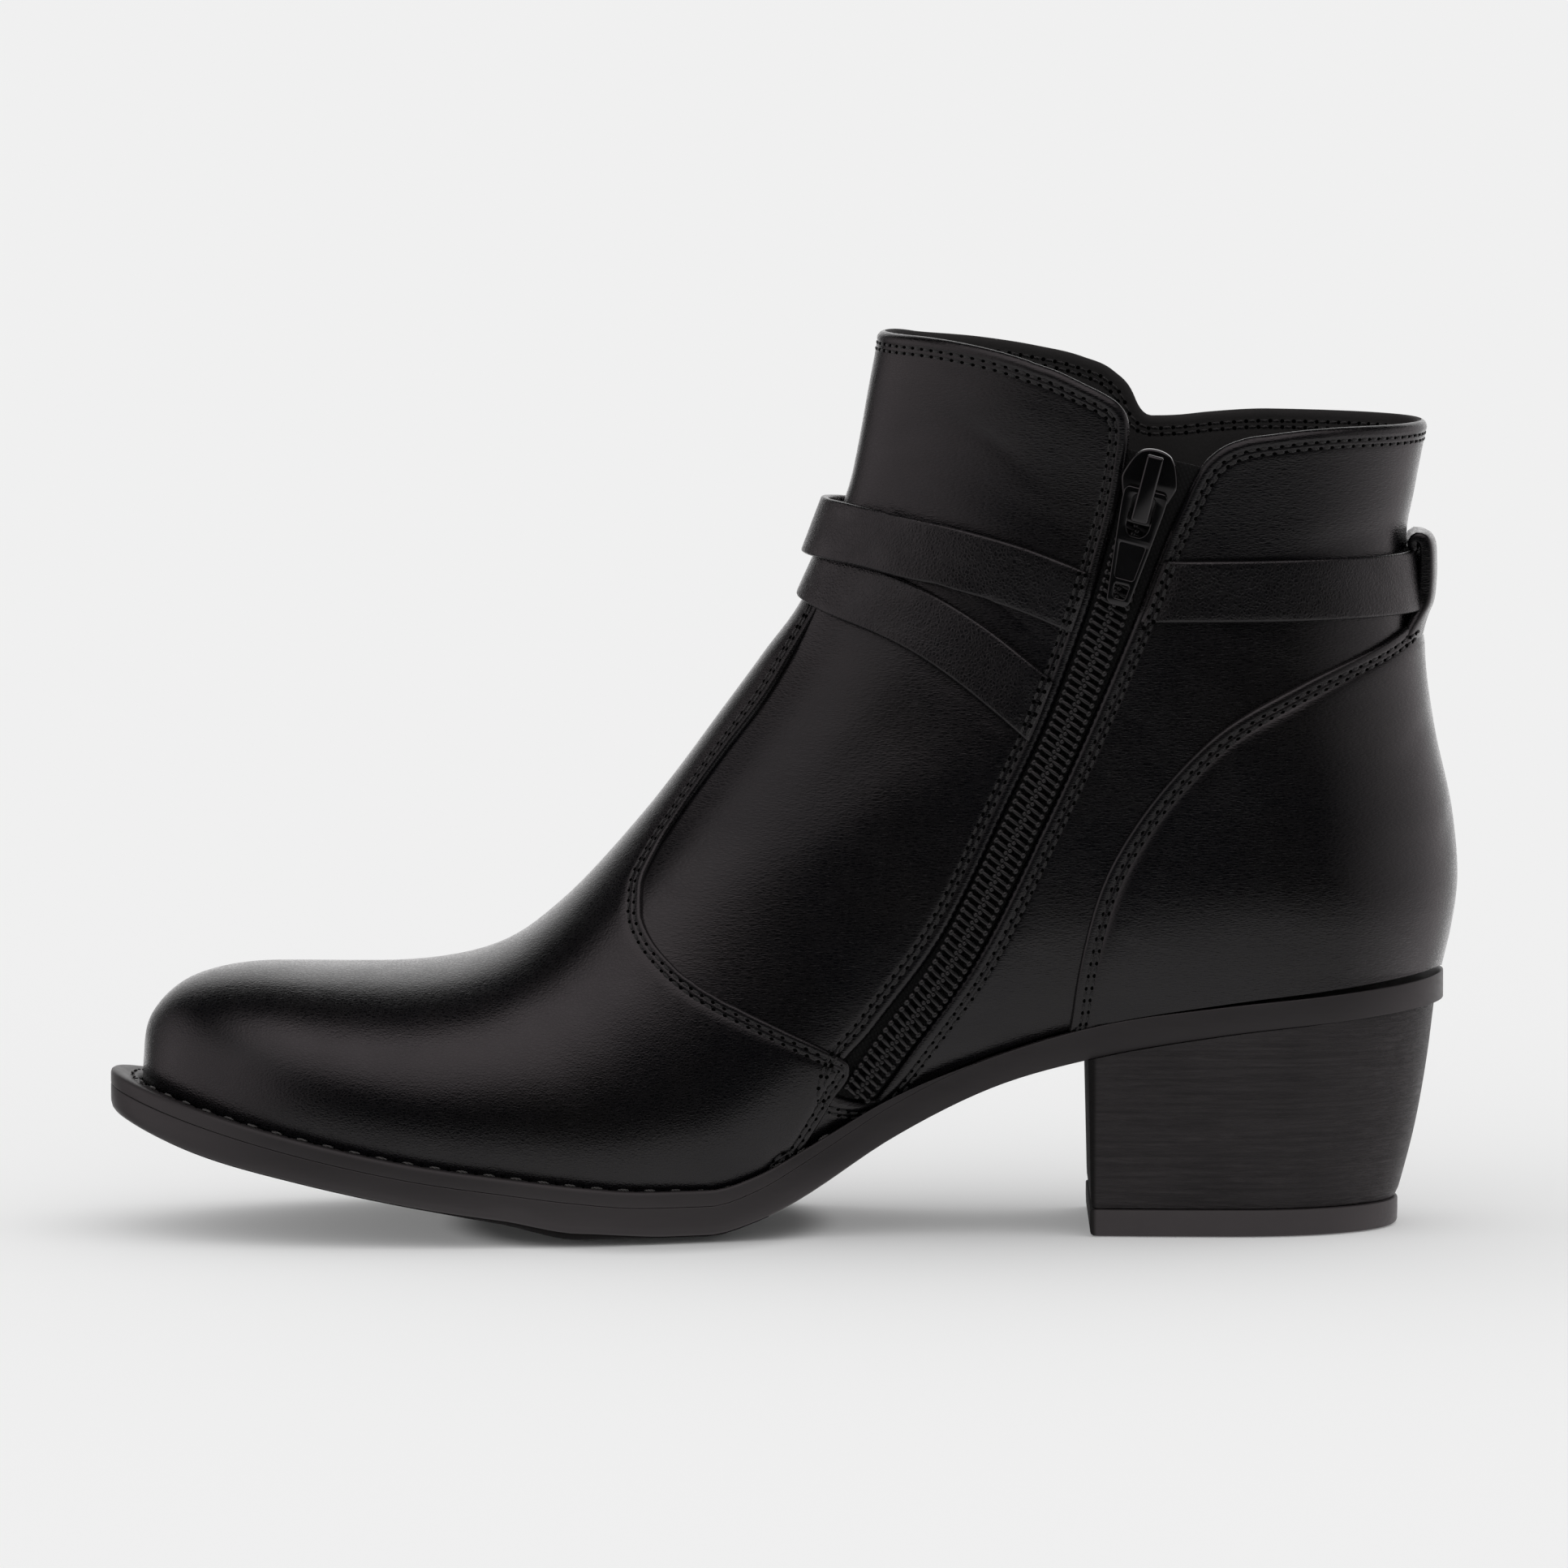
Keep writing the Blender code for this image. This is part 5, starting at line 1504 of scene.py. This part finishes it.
def rounded(outline, radius, steps=4):
    # the outline with its corners turned
    result = []
    points = [Vector(p) for p in outline]
    for i, point in enumerate(points):
        one, two = points[i - 1] - point, points[(i + 1) % len(points)] - point
        cut = min(radius, one.length * 0.45, two.length * 0.45)
        start, end = point + one.normalized() * cut, point + two.normalized() * cut
        for k in np.linspace(0, 1, steps + 1):
            result.append(tuple(start * (1 - k) ** 2 + point * 2 * k * (1 - k) + end * k * k))
    return result


def inset(loop, distance):
    # the closed outline moved towards its middle
    points = np.array(loop)
    ahead = unit(np.roll(points, -1, axis=0) - points)
    left = np.stack([-ahead[:, 1], ahead[:, 0]], axis=1)
    area = np.sum(points[:, 0] * np.roll(points[:, 1], -1) - points[:, 1] * np.roll(points[:, 0], -1))
    both = unit(left + np.roll(left, 1, axis=0))
    stretch = 1 / np.maximum(np.sum(both * left, axis=1, keepdims=True), 0.6)
    return points + both * stretch * distance * np.sign(area)


def plateLevels(low, high, lowTurn, highTurn):
    # height and inset of each ring of a plate with turned edges
    bend = np.linspace(0, math.pi / 2, 5)
    under = [(low + lowTurn * (1 - math.sin(a)), lowTurn * (1 - math.cos(a))) for a in bend[::-1]]
    over = [(high - highTurn * (1 - math.sin(a)), highTurn * (1 - math.cos(a))) for a in bend]
    return (under if lowTurn else [(low, 0.0)]) + (over if highTurn else [(high, 0.0)])


def addPlate(work, turned, loops, low, high, lowTurn=0.0, highTurn=0.0):
    # flat piece in the slider's frame: its outline, then the holes through it
    rings, caps = [], []
    for level, cut in plateLevels(low, high, lowTurn, highTurn):
        moved = [inset(loop, cut if k == 0 else -cut) for k, loop in enumerate(loops)]
        caps.append([[Vector((x, y, 0)) for x, y in loop] for loop in moved])
        rings.append([
            [work.verts.new(turned @ Vector((x * mm, y * mm, level * mm))) for x, y in loop] for loop in moved
        ])
    for ring, cap in ((rings[0], caps[0]), (rings[-1], caps[-1])):
        flat = [v for loop in ring for v in loop]
        for a, b, c in tessellate_polygon(cap):
            work.faces.new((flat[a], flat[b], flat[c]))
    for one, two in zip(rings, rings[1:]):
        for first, second in zip(one, two):
            for i in range(len(first)):
                j = (i + 1) % len(first)
                work.faces.new((first[i], first[j], second[j], second[i]))


def finishMetal(name, work, node, body):
    bmesh.ops.recalc_face_normals(work, faces=work.faces)
    mesh = bpy.data.meshes.new(name)
    work.to_mesh(mesh)
    work.free()
    mesh.materials.append(blackMetal)
    mesh.shade_smooth()
    mesh.set_sharp_from_angle(angle=math.radians(slider["sharp"]))
    return dress(addPiece(name, mesh), [node], body)


def makeSlider():
    along, out = slider["pivot"]
    turned = sliderFrame() @ Matrix.Translation((0, -along * mm, -out * mm))
    work = bmesh.new()
    plate = rounded(mirrored(slider["plate"]), slider["plateRound"])
    addPlate(work, turned, [plate], slider["low"], slider["high"], highTurn=slider["plateTurn"])
    for side in (-1, 1):  # flanges that hold the coil
        flange = rounded([(x * side, y) for x, y in slider["flange"]], slider["flangeRound"])
        addPlate(work, turned, [flange], slider["flangeLow"], slider["flangeHigh"])
    low, top, under = slider["high"] - slider["bridgeSink"], slider["bridgeTop"], slider["bridgeUnder"]
    nose, tail, post = slider["nose"], slider["tail"], slider["post"]
    bridge = [
        (tail, low), (tail, top), (nose, top), (nose, low), (nose - post, low), (nose - post, under),
        (tail + post, under), (tail + post, low),
    ]
    bridge = rounded(bridge, slider["bridgeRound"], 5)
    upright = turned @ Matrix(((0, 0, 1, 0), (1, 0, 0, 0), (0, 1, 0, 0), (0, 0, 0, 1)))
    half, turn = slider["bridgeHalf"], slider["bridgeTurn"]
    addPlate(work, upright, [bridge], -half, half, turn, turn)
    return finishMetal("zipSlider", work, "zip_slider", "boot")


def tabLoop(name, radius):
    # an outline of the tab, measured from its hinge
    shift = slider["pivot"][0]
    return rounded(mirrored([(x, y - shift) for x, y in slider[name]]), slider[radius])


def makePullTab():
    pivot = sliderFrame()
    outer, eye = tabLoop("tabSide", "tabRound"), tabLoop("eye", "eyeRound")
    panel, slot = tabLoop("panel", "panelRound"), tabLoop("slot", "slotRound")
    half, (backTurn, faceTurn) = slider["tabThick"] / 2, slider["tabTurns"]
    floor = half - slider["panelDeep"]
    work = bmesh.new()
    addPlate(work, pivot, [outer, eye, slot], -half, floor, lowTurn=backTurn)
    addPlate(work, pivot, [outer, eye, panel, slot], floor - slider["overlap"], half, highTurn=faceTurn)
    return finishMetal("zipPullTab", work, "zip_pull_tab", "pull_tab")


makeSlider()
makePullTab()
print("slider ready")

# camera, floor and light
view = {
    "distance": 3.5, "lift": 5.4, "aim": (0.0, 0.0, 0.0824), "pixels": 1932, "focal": 23030, "sensor": 36.0,
}


def makeCamera():
    data = bpy.data.cameras.new("photoCamera")
    data.sensor_width = view["sensor"]
    data.lens = view["sensor"] * view["focal"] / view["pixels"]
    data.clip_end = 40.0
    camera = addPiece("photoCamera", data)
    lift = math.radians(view["lift"])
    back = Vector((0, -math.cos(lift), math.sin(lift)))
    camera.location = Vector(view["aim"]) + back * view["distance"]
    camera.rotation_euler = (-back).to_track_quat("-Z", "Y").to_euler()
    bpy.context.scene.camera = camera


makeCamera()


studio = {
    "back": 240, "floor": 0.8, "shade": 0.16,  # background grey, floor albedo, light left in full shadow
    "half": 9.0, "sink": -1e-4, "paintedShadowGlow": 0.1,
    "tread": (-0.027, 0.036, 0.052),  # the painted contact shadow's ellipse where it meets the floor: middle, half length, half width
    "room": 0.015, "warm": (1.0, 0.885, 0.92),
    "boxes": [  # facing axis, sign; on each other axis fade in, full, full, fade out; strength, warm share
        ("Z", 1, (-1.4, -0.2, 0.2, 1.4), (-2.5, -0.5, -0.12, 0.16), 1.05, 1.0),  # overhead, to the front
        ("X", -1, (-1.9, -0.3, 0.1, 1.3), (-0.45, -0.15, 0.35, 1.0), 0.66, 1.0),  # left
        ("X", -1, (-2.4, -1.0, -0.5, -0.1), (0.3, 0.8, 1.1, 1.9), 0.36, 0.6),  # between left and front
        ("X", 1, (-1.3, 0.6, 0.7, 1.4), (-0.9, -0.4, 0.3, 0.8), 0.8, 0.7),  # right
        ("Y", 1, (-0.9, -0.05, 0.3, 1.4), (-0.7, -0.3, 0.75, 1.2), 1.2, 0.1),  # behind
        ("Z", -1, (-4.0, -1.5, 1.5, 4.0), (-5.0, -2.6, 0.6, 2.0), 0.54, 0.4),  # floor
    ],
}


def makeFloor():
    half, z, pale = studio["half"], studio["sink"], studio["floor"]
    mesh = bpy.data.meshes.new("paleFloor")
    corners = [(-half, -half, z), (half, -half, z), (half, half, z), (-half, half, z)]
    mesh.from_pydata(corners, [], [(0, 1, 2, 3)])
    finish = Finish("paleFloor", Roughness=0.9, Specular_IOR_Level=0.0, Emission_Strength=studio["shade"])
    cloud = finish.noise(finish.place(), 1.5)
    finish.feed("Base Color", finish.blend(cloud, (pale,) * 3, (pale + 0.002,) * 3))
    middle, long, wide = studio["tread"]
    along, across = (finish.axis("X") - middle) / long, finish.axis("Y") / wide
    clear = (along * along + across * across).between(0.6, 1.15)  # painted contact shadow: the floor's glow dimmed where the tread meets it
    finish.feed("Emission Color", finish.blend(clear, (studio["paintedShadowGlow"],) * 3, (1.0, 1.0, 1.0)))
    mesh.materials.append(finish.data)
    floor = addPiece("paleFloor", mesh)
    floor.visible_glossy = False


def makeRoom():
    scene = bpy.context.scene
    scene.view_settings.view_transform = "Standard"
    white = ((studio["back"] / 255 + 0.055) / 1.055) ** 2.4
    sky = Finish("paleRoom", room=True)
    scene.world = sky.data
    sky.data.cycles.sampling_method = "NONE"
    way = sky.node("ShaderNodeTexCoord", out="Generated")
    split = {axis: sky.node("ShaderNodeSeparateXYZ", None, {0: way}, out=axis) for axis in "XYZ"}
    glow, warm = studio["room"], 0.0
    for axis, sign, *sides, strength, share in studio["boxes"]:
        facing = split[axis] * sign
        part = facing.between(0.0, 0.02, 0.0, strength)
        depth = facing.atLeast(1e-3)
        for other, (low, fullLow, fullHigh, high) in zip([n for n in "XYZ" if n != axis], sides):
            slope = split[other] / depth
            part = part * slope.between(low, fullLow) * slope.between(fullHigh, high, 1.0, 0.0)
        glow, warm = glow + part, warm + part * share
    soft, seen = (sky.node("ShaderNodeLightPath", out=f"Is {ray} Ray") for ray in ("Diffuse", "Camera"))
    shiny = (1 - seen) * (1 - soft)
    plain = (white - studio["shade"]) / studio["floor"]
    sky.feed("Strength", seen * white + soft * plain + shiny * glow)
    sky.feed("Color", sky.blend(shiny * (warm / glow), (1, 1, 1), studio["warm"]))


makeFloor()
makeRoom()
